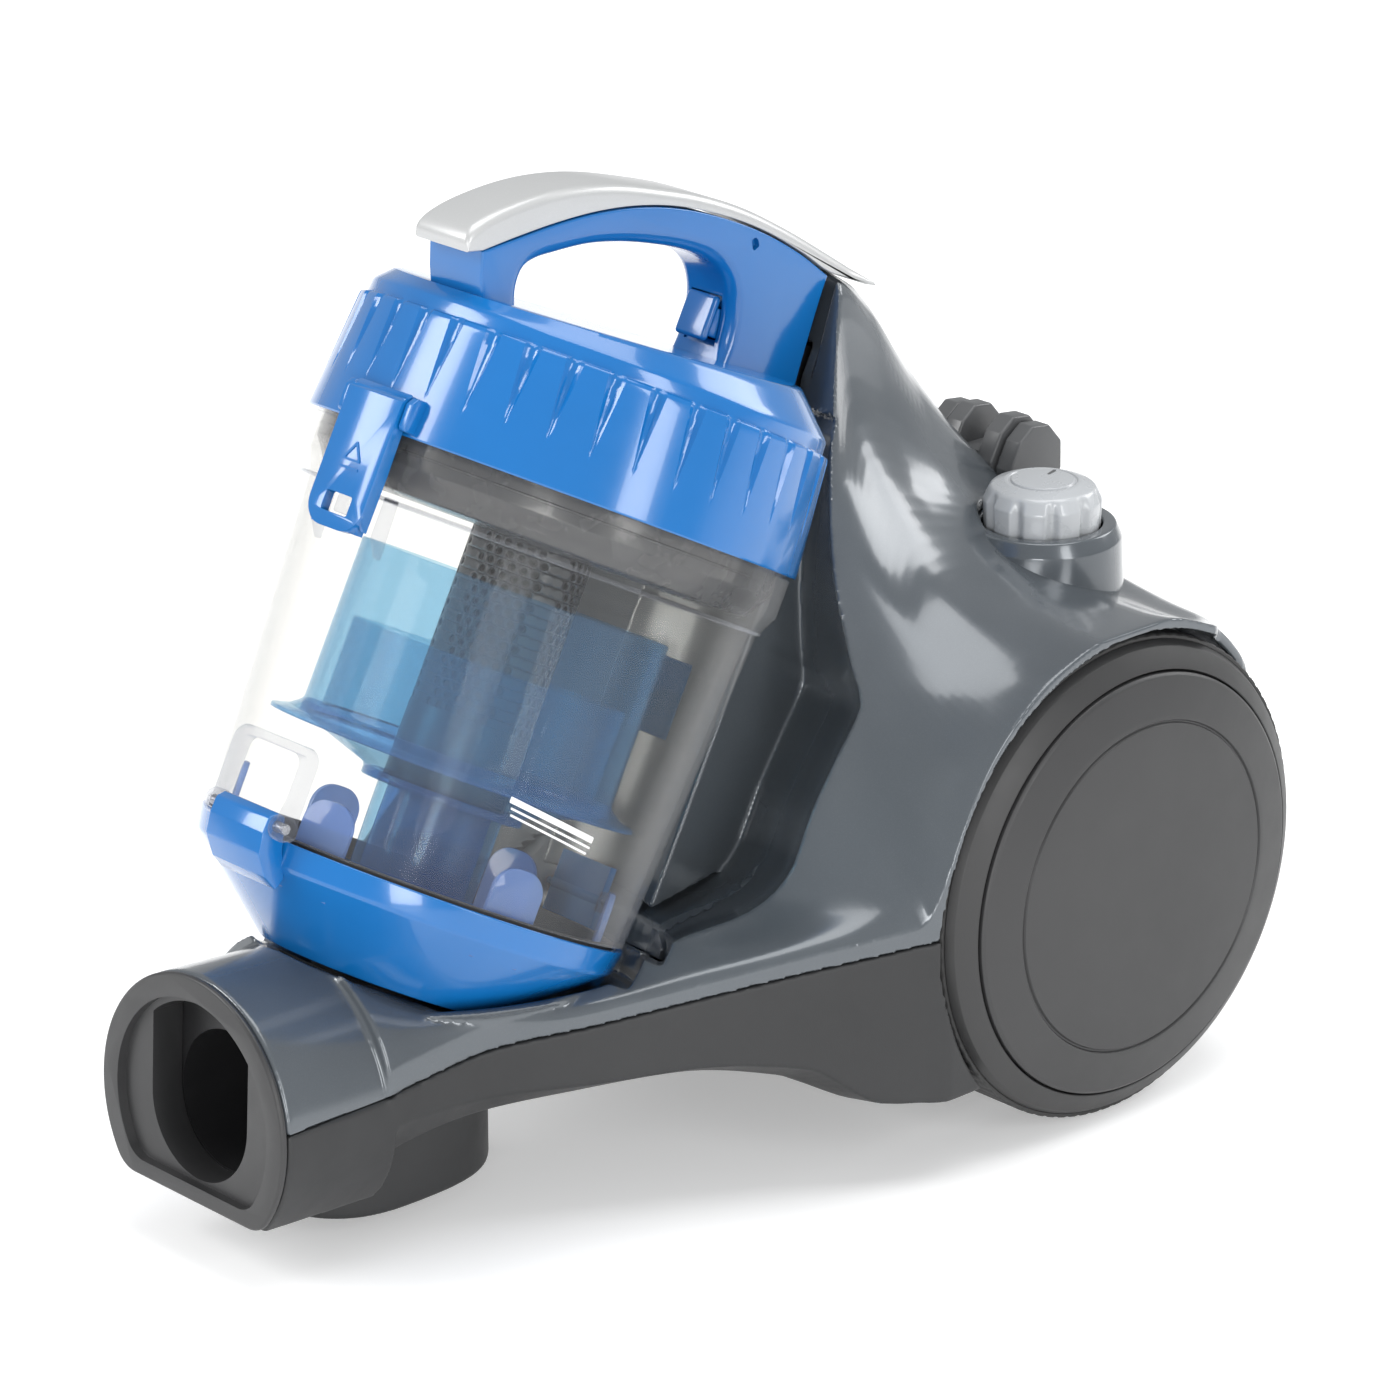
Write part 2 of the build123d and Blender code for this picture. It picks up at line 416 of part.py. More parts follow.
# ---------------------------------------------------------------- lid
lid_o = rev([(0, 0), (CAP_R0, 0), (CAP_R1 + 0.2, CAP_H - 2), (79.2, 46), (62, 63.5), (0, 63.5)])
lid_i = rev([(0, -1), (82.7, -1), (82.1, 15.8), (79.4, 15.8), (79.4, 18.2), (81.2, 20), (CAP_R1 - 2.4, CAP_H - 3), (76.4, 45), (56, 65), (0, 65)])
tilt = math.degrees(math.atan(0.085))
top_cut = Pos(0, 0, 56.5) * Rot(tilt, 0, 0) * box(-120, 120, -120, 120, 0, 60)
top_in = Pos(0, 0, 53.7) * Rot(tilt, 0, 0) * box(-120, 120, -120, 120, 0, 60)
flutes = []
for k in range(36):
    a = 10 * k + 5
    g = Rot(0, 0, a) * Pos(85.6, 0, 14) * Rot(0, -4.8, 0) * Cone(0.4, 2.6, 24, align=MIN3)
    flutes.append(g)
lid = lid_o - top_cut - flutes
lid = lid - (lid_i - top_in)
# air outlet at the rear and the two pivot ears of the front tab
lid = lid - (Pos(0, 70, 18) * Rot(-90, 0, 0) * Cylinder(13.0, 30, align=MIN3))
lid = lid + (box(-16.4, -13.6, -88.6, -82.9, 0.6, 12.4) + box(13.6, 16.4, -88.6, -82.9, 0.6, 12.4))
lid = lid - cyl((-30, -86.6, 6.5), (1, 0, 0), 1.25 + RUN_FIT, 60)
bin_lid = one(lid)
save(one(inbin(bin_lid)), "bin_lid")
# latch tab
tab = box(-13, 13, -89.8, -86.9, -35.5, 13) + box(-13, 13, -88.4, -85.9, 4, 9)
tab = tab - box(-6.5, 6.5, -95, -80, -30.5, -22.5)
tab = tab + cyl((-13, -86.6, 6.5), (1, 0, 0), 2.3, 26)
tab = tab - (rev([(0, -40), (85.9, -40), (85.9, 30), (0, 30)]))
tab = tab + cyl((-16.2, -86.6, 6.5), (1, 0, 0), 1.25, 32.4)
tab = tab + box(-11, -7.5, -87.5, -84.3, -35, -32.2) + box(7.5, 11, -87.5, -84.3, -35, -32.2)
save(one(inbin(tab)), "lid_latch")

# ---------------------------------------------------------------- handle (profiles in the X = 0 plane, (y, z))
TOPLINE = [(-77.5, 321.6), (-62.7, 322.9), (-45.5, 324.2), (-28, 324.4), (-10.4, 322.8), (7.4, 319.0), (26.8, 312.2), (46.4, 302.8), (63.8, 291.8), (76.4, 281.6)]
INNER = [(-61.5, 299), (-61.8, 309), (-56.5, 314.6), (-45, 314.2), (-30, 313.8), (-16, 311.5), (-2, 308.0), (12, 303.6), (24, 298.0), (31, 290), (32.5, 281), (30.5, 272), (25.5, 262)]
FOOT_F = [(-72.5, 290), (-58, 290)]
YZ = Plane(origin=(0, 0, 0), x_dir=(0, 1, 0), z_dir=(1, 0, 0))
outline = [(-77.8, 321.4)] + TOPLINE[1:] + [(61.8, 247), (58.0, 232.0), (20, 250.0)] + list(reversed(INNER))[1:] + [(-62, 292.0), (-76.0, 296.0), (-78.4, 305)]
frame2 = extrude(make_face(YZ * Polyline(*outline, close=True)), 13.0, both=True)
lid_world = inbin(lid_o - top_cut)
handle = frame2 - lid_world
handle = handle - inbin(box(-7.3, 7.3, 36, 90, 66, 77) + box(-7.4, 7.4, 28, 41.6, 64, 80.5))   # channel of the trigger
handle = one(handle)
save(handle, "handle_frame")
crest = [(-84.0, 323.0), (-84.0, 327.5), (-79, 331), (-66, 333.6), (-48, 335.0), (-31, 334.0), (-16, 331.4), (1.5, 326.6), (19.5, 320.8), (39, 312.4), (59, 301), (79, 288.0), (99, 274.6), (99, 273.4),
         (88, 278.0), (77.4, 283.2)]
cov = extrude(make_face(YZ * Polyline(*(crest + [(64.2, 292.3), (46.7, 303.4), (27.0, 312.8), (7.5, 319.6), (-10.4, 323.4), (-28, 325.0), (-45.5, 324.8), (-62.7, 323.5), (-77.5, 322.2)]), close=True)), 13.0, both=True)
try:
    top_edges = [e for e in cov.edges() if abs(e.center().X) > 12.9 and e.center().Z > 0 and any(abs(e.center().Y - (crest[i][0] + crest[i + 1][0]) / 2) < 0.6 and abs(e.center().Z - (crest[i][1] + crest[i + 1][1]) / 2) < 0.6 for i in range(2, 11))]
    cov = chamfer(top_edges, 3.0)
except Exception as err:
    print("cover chamfer skipped:", err)
save(one(cov), "handle_cover")
trig = inbin(box(-7, 7, 36.6, 80.6, 66.5, 76.5) + box(-7, 7, 34.4, 37.2, 64.5, 80.0))
save(one(trig), "release_trigger")
cat = inbin(box(-7.5, 7.5, 81.2, 100, 62, 76.5) + box(-12, 12, 96, 100, 62, 76.5))
save(one(cat), "bin_lock_catch")

# ---------------------------------------------------------------- controls
ring = Cylinder(25.5, 22.0, align=MAX3) - Pos(0, 0, 1) * Cylinder(20.9, 24.0, align=MAX3)
ring = Pos(KNOB_X, KNOB_Y, KNOB_RIM_Z) * ring
cupf = Pos(KNOB_X, KNOB_Y, KNOB_RIM_Z - 22.0) * Cylinder(22.0, 2.4, align=MIN3)
liner = Pos(KNOB_X, KNOB_Y, KNOB_RIM_Z - 22) * (Cylinder(22.0, 22.0, align=MIN3) - Pos(0, 0, -1) * Cylinder(20.9, 24.0, align=MIN3))
around = Pos(KNOB_X, KNOB_Y, 0) * (Pos(0, 0, 100) * Cylinder(22.0, 200, align=MIN3))
roof = up_outer - around
right = ((ring - roof) + liner + cupf) - cyl((KNOB_X, KNOB_Y, 150), (0, 0, 1), 3.4, 30)
post = cyl((KNOB_X, KNOB_Y, KNOB_RIM_Z - 22), (0, 0, 1), 3.0, 14.0)
left = mirror((ring - roof) + liner + cupf + post, Plane.YZ)
save(one(right), "control_bezel_right")
save(one(left), "control_bezel_left")
kz = KNOB_RIM_Z
knob = rev([(0, kz - 8), (6.2, kz - 8), (6.2, kz - 2), (18.0, kz - 2), (KNOB_R, kz - 2), (KNOB_R, kz + 9.5), (18.4, kz + 13.6), (13, kz + 15.6), (11.6, kz + 15.8), (11.4, kz + 15.0), (11.0, kz + 15.0), (10.8, kz + 15.9), (0, kz + 16.2)])
notches = [Rot(0, 0, 36 * k) * (Pos(KNOB_R + 3.4, 0, kz + 1) * Cylinder(4.6, 9.5, align=MIN3)) for k in range(10)]
knob = knob - notches - Pos(0, 0, kz - 9) * Cylinder(3.0, 12, align=MIN3)
save(one(Pos(KNOB_X, KNOB_Y, 0) * knob), "power_knob")
shaft = Pos(KNOB_X, KNOB_Y, 0) * (Pos(0, 0, kz - 34) * Cylinder(2.95, 37, align=MIN3) + Pos(0, 0, kz - 25) * Cylinder(5.0, 1.6, align=MIN3))
save(one(shaft), "knob_shaft")
sw = box(KNOB_X - 14, KNOB_X + 14, KNOB_Y - 10, KNOB_Y + 10, kz - 42, kz - 30.6) - cyl((KNOB_X, KNOB_Y, kz - 39), (0, 0, 1), 3.4, 20)
for sx in (1, -1):
    x0, x1 = sorted((KNOB_X + sx * 10.5, KNOB_X + sx * 14))
    sw = sw + box(x0, x1, KNOB_Y - 10, KNOB_Y + 10, kz - 31, kz - 22)
save(one(sw), "power_switch")
ksp = Pos(KNOB_X, KNOB_Y, kz - 30.6) * (Cylinder(4.6, 5.6, align=MIN3) - Cylinder(3.6, 5.6, align=MIN3))
save(one(ksp), "knob_spring")
btn = rev([(0, kz - 12.5), (5.6, kz - 12.5), (5.6, kz - 5), (19, kz - 5), (20.4, kz - 5), (20.4, kz + 4.5), (18.5, kz + 7.2), (12, kz + 8.4), (0, kz + 8.9)])
btn = btn - Pos(0, 0, kz - 13) * Cylinder(3.4, 12, align=MIN3)
save(one(Pos(-KNOB_X, KNOB_Y, 0) * btn), "rewind_button")
bsp = Pos(-KNOB_X, KNOB_Y, kz - 19.6) * (Cylinder(7.4, 14.6, align=MIN3) - Cylinder(6.2, 14.6, align=MIN3))
save(one(bsp), "button_spring")

# ---------------------------------------------------------------- tool park hook
hook = box(-22, 22, 164, 176, 196, 208) + box(-22, 22, 158, 176, 188, 198)
for sx in (1, -1):
    x0, x1 = sorted((sx * 5.5, sx * 22))
    lobe = extrude(make_face(YZ * Polyline((158, 190), (156, 197), (164, 209), (173, 211.5), (181, 207), (183, 196), (179, 186), (164, 186), close=True)), 16.5, dir=(1, 0, 0))
    hook = hook + (Pos(x0, 0, 0) * lobe)
hook = hook - box(-5.5, 5.5, 150, 190, 198.5, 220) - up_outer - upper_housing
save(one(hook), "tool_park_hook")

# ---------------------------------------------------------------- motor, fan, reel, exhaust
MY, MZ = 115.0, 92.0
def xc(x0, x1, r, ri=0.0):
    s = cyl((x0, MY, MZ), (1, 0, 0), r, x1 - x0)
    return s - cyl((x0 - 1, MY, MZ), (1, 0, 0), ri, x1 - x0 + 2) if ri else s
save(one(xc(-40, 6, 42.0, 39.5) + xc(-40, -37.5, 42.0, 8.2) + xc(3.5, 6, 42.0, 8.2)), "motor_housing")
save(one(xc(-72.5, 8, 4.0) + xc(-34, -6, 19.0)), "motor_rotor")
save(one(xc(-70, -40.2, 52.0, 49.5) + xc(-72, -69.6, 52.0, 18.0) + xc(-42.8, -40.2, 52.0, 8.2)), "fan_cover")
fan = xc(-66, -64, 46.0, 4.02) + xc(-50, -48, 46.0, 4.02) + xc(-66, -48, 9.0, 4.02)
for k in range(9):
    fan = fan + Pos(0, MY, MZ) * Rot(40 * k, 0, 0) * box(-65.5, -48.5, -1.2, 1.2, 8, 45.5)
save(one(fan), "motor_fan")
save([one(xc(-78, -72.2, 30.0, 18.0)), one(xc(6.2, 12, 30.0, 9.0))], "motor_mounts")
brkt = box(-81, -78.2, MY - 34, MY + 34, 31, MZ + 20) - cyl((-90, MY, MZ), (1, 0, 0), 18, 20)
brkt2 = box(12.2, 15, MY - 34, MY + 34, 31, MZ + 20) - cyl((8, MY, MZ), (1, 0, 0), 9, 20)
brk3 = box(-81, 15, MY - 34, MY + 34, 30.8, 33)
save(one(brkt + brkt2 + brk3), "motor_cradle")
save(one(xc(20, 22.5, 52.0, 8 + RUN_FIT) + xc(47, 49.5, 52.0, 8 + RUN_FIT) + xc(20, 49.5, 20.0, 8 + RUN_FIT)), "cord_reel")
save(one(xc(16.5, 56, 8.0) + xc(15.2, 18.5, 14.0)), "reel_axle")
save(one(xc(50.5, 56, 30.0, 8.02)), "rewind_spring_case")
grl = box(-55.6, 55.6, 186.4, 191.6, 97.4, 132.6)
for k in range(8):
    z = 101 + 3.9 * k
    grl = grl - box(-51, -2, 180, 200, z, z + 1.9) - box(2, 51, 180, 200, z, z + 1.9)
save(one(grl), "exhaust_grille")
save(one(box(-53, 53, 172, 185.6, 98.5, 131)), "exhaust_filter")
save(one(cyl((52, 186.0, 66), (0, 1, 0), 9.0, 4.3) + cyl((52, 190.2, 66), (0, 1, 0), 11.0, 3.0) + cyl((52, 190.2, 66), (0, 1, 0), 7.5, GLAND_Y - 190.2) + cyl((52, 178.0, 66), (0, 1, 0), 7.0, 10) - cyl((52, 170, 66), (0, 1, 0), 4.5, 40)), "cord_gland")
save(screws, "case_screws")
print("parts written:", len(os.listdir("parts")))
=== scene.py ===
import json
import math
import bpy
import bmesh
import numpy as np
from mathutils import Matrix, Vector


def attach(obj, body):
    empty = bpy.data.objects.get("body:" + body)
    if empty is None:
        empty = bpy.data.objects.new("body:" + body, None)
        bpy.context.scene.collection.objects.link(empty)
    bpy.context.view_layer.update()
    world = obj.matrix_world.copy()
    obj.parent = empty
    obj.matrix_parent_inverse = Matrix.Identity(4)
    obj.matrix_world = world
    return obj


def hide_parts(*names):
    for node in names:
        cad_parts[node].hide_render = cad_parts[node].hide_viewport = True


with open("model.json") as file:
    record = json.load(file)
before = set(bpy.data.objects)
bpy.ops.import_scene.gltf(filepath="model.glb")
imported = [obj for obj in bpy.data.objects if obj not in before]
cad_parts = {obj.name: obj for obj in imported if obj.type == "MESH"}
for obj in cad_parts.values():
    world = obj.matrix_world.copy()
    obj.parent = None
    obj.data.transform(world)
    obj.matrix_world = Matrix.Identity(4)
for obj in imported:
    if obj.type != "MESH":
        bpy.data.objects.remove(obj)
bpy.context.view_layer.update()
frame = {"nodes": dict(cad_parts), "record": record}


MM = 0.001

# ------------------------------------------------------------------ frames (millimetres)
TILT = math.radians(27.9)
ST, CT = math.sin(TILT), math.cos(TILT)
BIN = Matrix(((1, 0, 0, 0), (0, CT, ST, -37.3), (0, -ST, CT, 228.4), (0, 0, 0, 1)))
NT = math.radians(3.1)
NECK = Matrix(((1, 0, 0, 0), (0, math.sin(NT), -math.cos(NT), -196.0), (0, math.cos(NT), math.sin(NT), 54.0), (0, 0, 0, 1)))
WY, WZ = 110.3, 85.7
WHEEL = Matrix(((0, 0, 1, 0), (1, 0, 0, WY), (0, 1, 0, WZ), (0, 0, 0, 1)))      # local z is +X
WHEEL_L = Matrix(((0, 0, -1, 0), (1, 0, 0, WY), (0, 1, 0, WZ), (0, 0, 0, 1)))   # local z is -X
ID = Matrix.Identity(4)


# ------------------------------------------------------------------ materials
def socket(nt, node, name):
    return node.inputs[name]


def noise(nt, scale, detail=2.0, rough=0.5, coords=None, kind="noise"):
    n = nt.nodes.new("ShaderNodeTexNoise")
    n.inputs["Scale"].default_value = scale
    n.inputs["Detail"].default_value = detail
    n.inputs["Roughness"].default_value = rough
    nt.links.new(coords, n.inputs["Vector"])
    return n


def ramp(nt, value, lo, hi, a, b):
    m = nt.nodes.new("ShaderNodeMapRange")
    m.inputs["From Min"].default_value = lo
    m.inputs["From Max"].default_value = hi
    m.inputs["To Min"].default_value = a
    m.inputs["To Max"].default_value = b
    nt.links.new(value, m.inputs["Value"])
    return m.outputs["Result"]


def mix_colour(nt, fac, a, b):
    m = nt.nodes.new("ShaderNodeMix")
    m.data_type = "RGBA"
    m.inputs[6].default_value = (*a, 1)
    m.inputs[7].default_value = (*b, 1)
    nt.links.new(fac, m.inputs[0])
    return m.outputs[2]


def plastic(name, base, rough=0.3, spread=0.04, coat=0.0, grain=0.0, grain_scale=2600, flake=0.0, tint=0.06,
            metal=0.0, ior=1.5, mottle_scale=22, coat_rough=0.06, wave=0.0):
    """Moulded plastic: slight colour drift, roughness variation, a fine grain and optional metallic fleck."""
    m = bpy.data.materials.new(name)
    m.use_nodes = True
    nt = m.node_tree
    b = nt.nodes["Principled BSDF"]
    tc = nt.nodes.new("ShaderNodeTexCoord").outputs["Object"]
    b.inputs["Metallic"].default_value = metal
    b.inputs["IOR"].default_value = ior
    b.inputs["Coat Weight"].default_value = coat
    b.inputs["Coat Roughness"].default_value = coat_rough
    low = noise(nt, mottle_scale, 3.0, 0.55, tc)
    fac = ramp(nt, low.outputs["Fac"], 0.3, 0.7, 0.0, 1.0)
    dark = tuple(c * (1 - tint) for c in base)
    light = tuple(min(1, c * (1 + tint)) for c in base)
    col = mix_colour(nt, fac, dark, light)
    if flake > 0:
        fn = noise(nt, 5200, 1.0, 0.5, tc)
        ff = ramp(nt, fn.outputs["Fac"], 0.55, 0.75, 0.0, flake)
        mm = nt.nodes.new("ShaderNodeMix")
        mm.data_type = "RGBA"
        nt.links.new(ff, mm.inputs[0])
        nt.links.new(col, mm.inputs[6])
        mm.inputs[7].default_value = (*[min(1, c * 2.2 + 0.05) for c in base], 1)
        col = mm.outputs[2]
    nt.links.new(col, b.inputs["Base Color"])
    mid = noise(nt, mottle_scale * 4, 4.0, 0.6, tc)
    nt.links.new(ramp(nt, mid.outputs["Fac"], 0.3, 0.7, max(0.02, rough - spread), rough + spread), b.inputs["Roughness"])
    if grain > 0 or wave > 0:
        bump = nt.nodes.new("ShaderNodeBump")
        bump.inputs["Distance"].default_value = 0.00012 if grain > 0 else 0.0004
        bump.inputs["Strength"].default_value = grain if grain > 0 else wave
        g = noise(nt, grain_scale if grain > 0 else 16, 2.0, 0.6, tc)
        nt.links.new(g.outputs["Fac"], bump.inputs["Height"])
        nt.links.new(bump.outputs["Normal"], b.inputs["Normal"])
    return m


def clear(name, tint, gloss=0.03, haze=0.06, haze_col=(0.6, 0.62, 0.65), edge=0.55):
    """Clear moulded plastic: see-through, reflecting more towards its edges, with a faint haze, and it lets lamp light pass."""
    m = bpy.data.materials.new(name)
    m.use_nodes = True
    nt = m.node_tree
    nt.nodes.clear()
    out = nt.nodes.new("ShaderNodeOutputMaterial")
    tr = nt.nodes.new("ShaderNodeBsdfTransparent")
    tr.inputs["Color"].default_value = (*tint, 1)
    gl = nt.nodes.new("ShaderNodeBsdfPrincipled")
    gl.inputs["Base Color"].default_value = (*haze_col, 1)
    gl.inputs["Roughness"].default_value = gloss
    gl.inputs["IOR"].default_value = 1.55
    gl.inputs["Coat Weight"].default_value = 0.6
    tc = nt.nodes.new("ShaderNodeTexCoord").outputs["Object"]
    n = noise(nt, 30, 3.0, 0.5, tc)
    nt.links.new(ramp(nt, n.outputs["Fac"], 0.3, 0.7, gloss, gloss + 0.05), gl.inputs["Roughness"])
    lw = nt.nodes.new("ShaderNodeLayerWeight")
    lw.inputs["Blend"].default_value = 0.30
    f = ramp(nt, lw.outputs["Facing"], 0.30, 1.0, haze, edge)
    mx = nt.nodes.new("ShaderNodeMixShader")
    nt.links.new(f, mx.inputs[0])
    nt.links.new(tr.outputs[0], mx.inputs[1])
    nt.links.new(gl.outputs[0], mx.inputs[2])
    lp = nt.nodes.new("ShaderNodeLightPath")
    tr2 = nt.nodes.new("ShaderNodeBsdfTransparent")
    tr2.inputs["Color"].default_value = (*[min(1, t * 1.0) for t in tint], 1)
    m2 = nt.nodes.new("ShaderNodeMixShader")
    nt.links.new(lp.outputs["Is Shadow Ray"], m2.inputs[0])
    nt.links.new(mx.outputs[0], m2.inputs[1])
    nt.links.new(tr2.outputs[0], m2.inputs[2])
    nt.links.new(m2.outputs[0], out.inputs["Surface"])
    return m


M = {
    "collar": plastic("collar_black", (0.030, 0.030, 0.031), 0.42, 0.05, grain=0.25, tint=0.1),
    "grey": plastic("housing_grey", (0.088, 0.100, 0.112), 0.20, 0.03, coat=0.45, flake=0.16, tint=0.04, metal=0.25, coat_rough=0.10),
    "base": plastic("base_dark", (0.0165, 0.017, 0.018), 0.50, 0.05, grain=0.35, tint=0.10),
    "wheel": plastic("wheel_grey", (0.027, 0.027, 0.0275), 0.46, 0.04, grain=0.30, tint=0.05),
    "cap": plastic("wheel_cap_grey", (0.030, 0.030, 0.031), 0.44, 0.04, grain=0.22, tint=0.05),
    "tyre": plastic("tyre_rubber", (0.028, 0.028, 0.028), 0.62, 0.05, grain=0.5, tint=0.12),
    "blue": plastic("gloss_blue", (0.004, 0.126, 0.385), 0.17, 0.02, coat=0.45, tint=0.035, coat_rough=0.04),
    "silver": plastic("cover_silver", (0.45, 0.455, 0.455), 0.34, 0.03, coat=0.25, flake=0.10, tint=0.02, metal=0.25),
    "knob": plastic("knob_light_grey", (0.40, 0.415, 0.43), 0.28, 0.03, coat=0.35, tint=0.03),
    "black": plastic("matt_black", (0.012, 0.012, 0.013), 0.45, 0.05, grain=0.3, tint=0.15),
    "hook": plastic("hook_dark", (0.075, 0.077, 0.080), 0.34, 0.05, grain=0.25, tint=0.12),
    "seal": plastic("seal_rubber", (0.02, 0.02, 0.02), 0.6, 0.05, grain=0.3, tint=0.1),
    "steel": plastic("steel", (0.55, 0.55, 0.56), 0.28, 0.06, metal=1.0, tint=0.04),
    "motor": plastic("zinc_sheet", (0.42, 0.43, 0.45), 0.38, 0.08, metal=0.9, tint=0.08),
    "alu": plastic("machined_aluminium", (0.72, 0.73, 0.74), 0.30, 0.06, metal=1.0, tint=0.04),
    "filter": plastic("filter_grey", (0.050, 0.053, 0.060), 0.26, 0.05, grain=0.1, tint=0.06, coat=0.3),
    "foam": plastic("filter_felt", (0.62, 0.62, 0.60), 0.85, 0.05, grain=1.0, grain_scale=900, tint=0.10),
    "mesh": plastic("screen_dark", (0.036, 0.038, 0.046), 0.34, 0.05, tint=0.08, coat=0.2),
    # painted shade: near-black stand-in for the shade inside the screen's hollow
    "shade_core": plastic("painted_shade_core", (0.010, 0.011, 0.014), 0.6, 0.05, tint=0.08),
    "white": plastic("print_white", (0.82, 0.82, 0.82), 0.5, 0.04, tint=0.02),
    "clear": clear("clear_shell", (0.958, 0.954, 0.942), 0.04, 0.034, (0.62, 0.62, 0.63), 0.50),
    "clear_edge": clear("clear_thick", (0.90, 0.905, 0.92), 0.04, 0.045, (0.62, 0.64, 0.68), 0.75),
    "blue_clear": clear("tinted_blue", (0.54, 0.76, 0.87), 0.06, 0.13, (0.14, 0.36, 0.70), 0.66),
    "blue_clear2": clear("tinted_blue_deep", (0.36, 0.58, 0.84), 0.06, 0.24, (0.10, 0.26, 0.62), 0.72),
    "fin_blue": clear("tinted_fin", (0.46, 0.60, 0.86), 0.08, 0.42, (0.20, 0.34, 0.66), 0.75),
}
SLOTS = {
    "grey_gloss": "grey", "dark_matte": "base", "black_matte": "black", "wheel_grey": "wheel", "wheel_cap": "cap", "tyre_soft": "tyre",
    "seal_rubber": "seal", "steel": "steel", "motor_steel": "motor", "aluminium": "alu", "light_grey": "knob", "silver_cover": "silver",
    "blue_gloss": "blue", "blue_clear": "blue_clear", "clear_shell": "clear", "filter_grey": "filter", "filter_foam": "foam", "mesh_dark": "mesh",
}
slot_of = {s["node"]: s["material_slot"] for s in frame["record"]["subparts"]}
for node, obj in frame["nodes"].items():
    obj.data.materials.clear()
    obj.data.materials.append(M["blue" if node == "release_trigger" else SLOTS[slot_of[node]]])


# ------------------------------------------------------------------ mesh tools
def make(name, verts, faces, mat=None, at=ID, angle=32.0):
    me = bpy.data.meshes.new(name)
    v = [tuple((at @ Vector(p)) * MM) for p in verts]
    me.from_pydata(v, [], faces)
    bm = bmesh.new()
    bm.from_mesh(me)
    bmesh.ops.remove_doubles(bm, verts=bm.verts, dist=2e-6)
    bmesh.ops.recalc_face_normals(bm, faces=bm.faces)
    bm.to_mesh(me)
    bm.free()
    o = bpy.data.objects.new(name, me)
    bpy.context.scene.collection.objects.link(o)
    if mat:
        me.materials.append(M[mat])
    smooth(o, angle)
    return o


def smooth(o, angle=32.0):
    me = o.data
    me.shade_smooth()
    me.set_sharp_from_angle(angle=math.radians(angle))


def bake(o):
    bpy.context.view_layer.update()
    dg = bpy.context.evaluated_depsgraph_get()
    me = bpy.data.meshes.new_from_object(o.evaluated_get(dg))
    old = o.data
    o.modifiers.clear()
    o.data = me
    bpy.data.meshes.remove(old)
    return o


def drop(*objs):
    for o in objs:
        d = o.data
        bpy.data.objects.remove(o)
        if d and d.users == 0:
            bpy.data.meshes.remove(d)


def boolean(a, b, op="DIFFERENCE", keep=False, solver="MANIFOLD"):
    m = a.modifiers.new("b", "BOOLEAN")
    m.operation = op
    m.solver = solver
    m.object = b
    bake(a)
    if not keep:
        drop(b)
    return a


def modify(o, kind, **kw):
    m = o.modifiers.new(kind, kind)
    for k, v in kw.items():
        setattr(m, k, v)
    return bake(o)


def soften(o, voxel=0.9, rounds=3, factor=0.5):
    modify(o, "REMESH", mode="VOXEL", voxel_size=voxel * MM, use_smooth_shade=True)
    if rounds:
        modify(o, "SMOOTH", factor=factor, iterations=rounds)
    o.data.shade_smooth()
    return o


def fillet(pts, r, seg=4):
    """Round the corners of a closed 2-D polygon. r is one radius or one for each corner."""
    n = len(pts)
    rr = r if isinstance(r, (list, tuple)) else [r] * n
    out = []
    for i in range(n):
        p, a, b = np.array(pts[i], float), np.array(pts[i - 1], float), np.array(pts[(i + 1) % n], float)
        u, v = a - p, b - p
        lu, lv = np.linalg.norm(u), np.linalg.norm(v)
        if rr[i] <= 0 or lu < 1e-9 or lv < 1e-9:
            out.append(tuple(p))
            continue
        u, v = u / lu, v / lv
        ang = math.acos(max(-1, min(1, float(u @ v))))
        if ang > math.radians(172) or ang < 0.05:
            out.append(tuple(p))
            continue
        t = min(rr[i] / math.tan(ang / 2), lu * 0.45, lv * 0.45)
        r_ = t * math.tan(ang / 2)
        c = p + (u + v) / np.linalg.norm(u + v) * (r_ / math.sin(ang / 2))
        s, e = p + u * t - c, p + v * t - c
        a0, a1 = math.atan2(s[1], s[0]), math.atan2(e[1], e[0])
        d = (a1 - a0 + math.pi) % (2 * math.pi) - math.pi
        for k in range(seg + 1):
            w = a0 + d * k / seg
            out.append((c[0] + r_ * math.cos(w), c[1] + r_ * math.sin(w)))
    return out


def lathe(name, prof, mat=None, at=ID, n=192, angle=32.0, shape=None):
    """Surface of revolution about the local Z of a closed (radius, height) profile. shape(theta, r, z) may move a point."""
    k = len(prof)
    verts = []
    for i in range(n):
        a = 2 * math.pi * i / n
        for (r, z) in prof:
            rr, zz = (r, z) if shape is None else shape(a, r, z)
            verts.append((rr * math.cos(a), rr * math.sin(a), zz))
    faces = []
    for i in range(n):
        j = (i + 1) % n
        for q in range(k):
            w = (q + 1) % k
            if prof[q][0] < 1e-6 and prof[w][0] < 1e-6:
                continue
            faces.append((i * k + q, j * k + q, j * k + w, i * k + w))
    return make(name, verts, faces, mat, at, angle)


def sheet(name, prof, mat=None, at=ID, n=160, angle=40.0):
    """Thin moulded wall as one open surface of revolution."""
    k = len(prof)
    verts = [(r * math.cos(2 * math.pi * i / n), r * math.sin(2 * math.pi * i / n), z) for i in range(n) for r, z in prof]
    faces = [(i * k + q, ((i + 1) % n) * k + q, ((i + 1) % n) * k + q + 1, i * k + q + 1) for i in range(n) for q in range(k - 1)]
    return make(name, verts, faces, mat, at, angle)


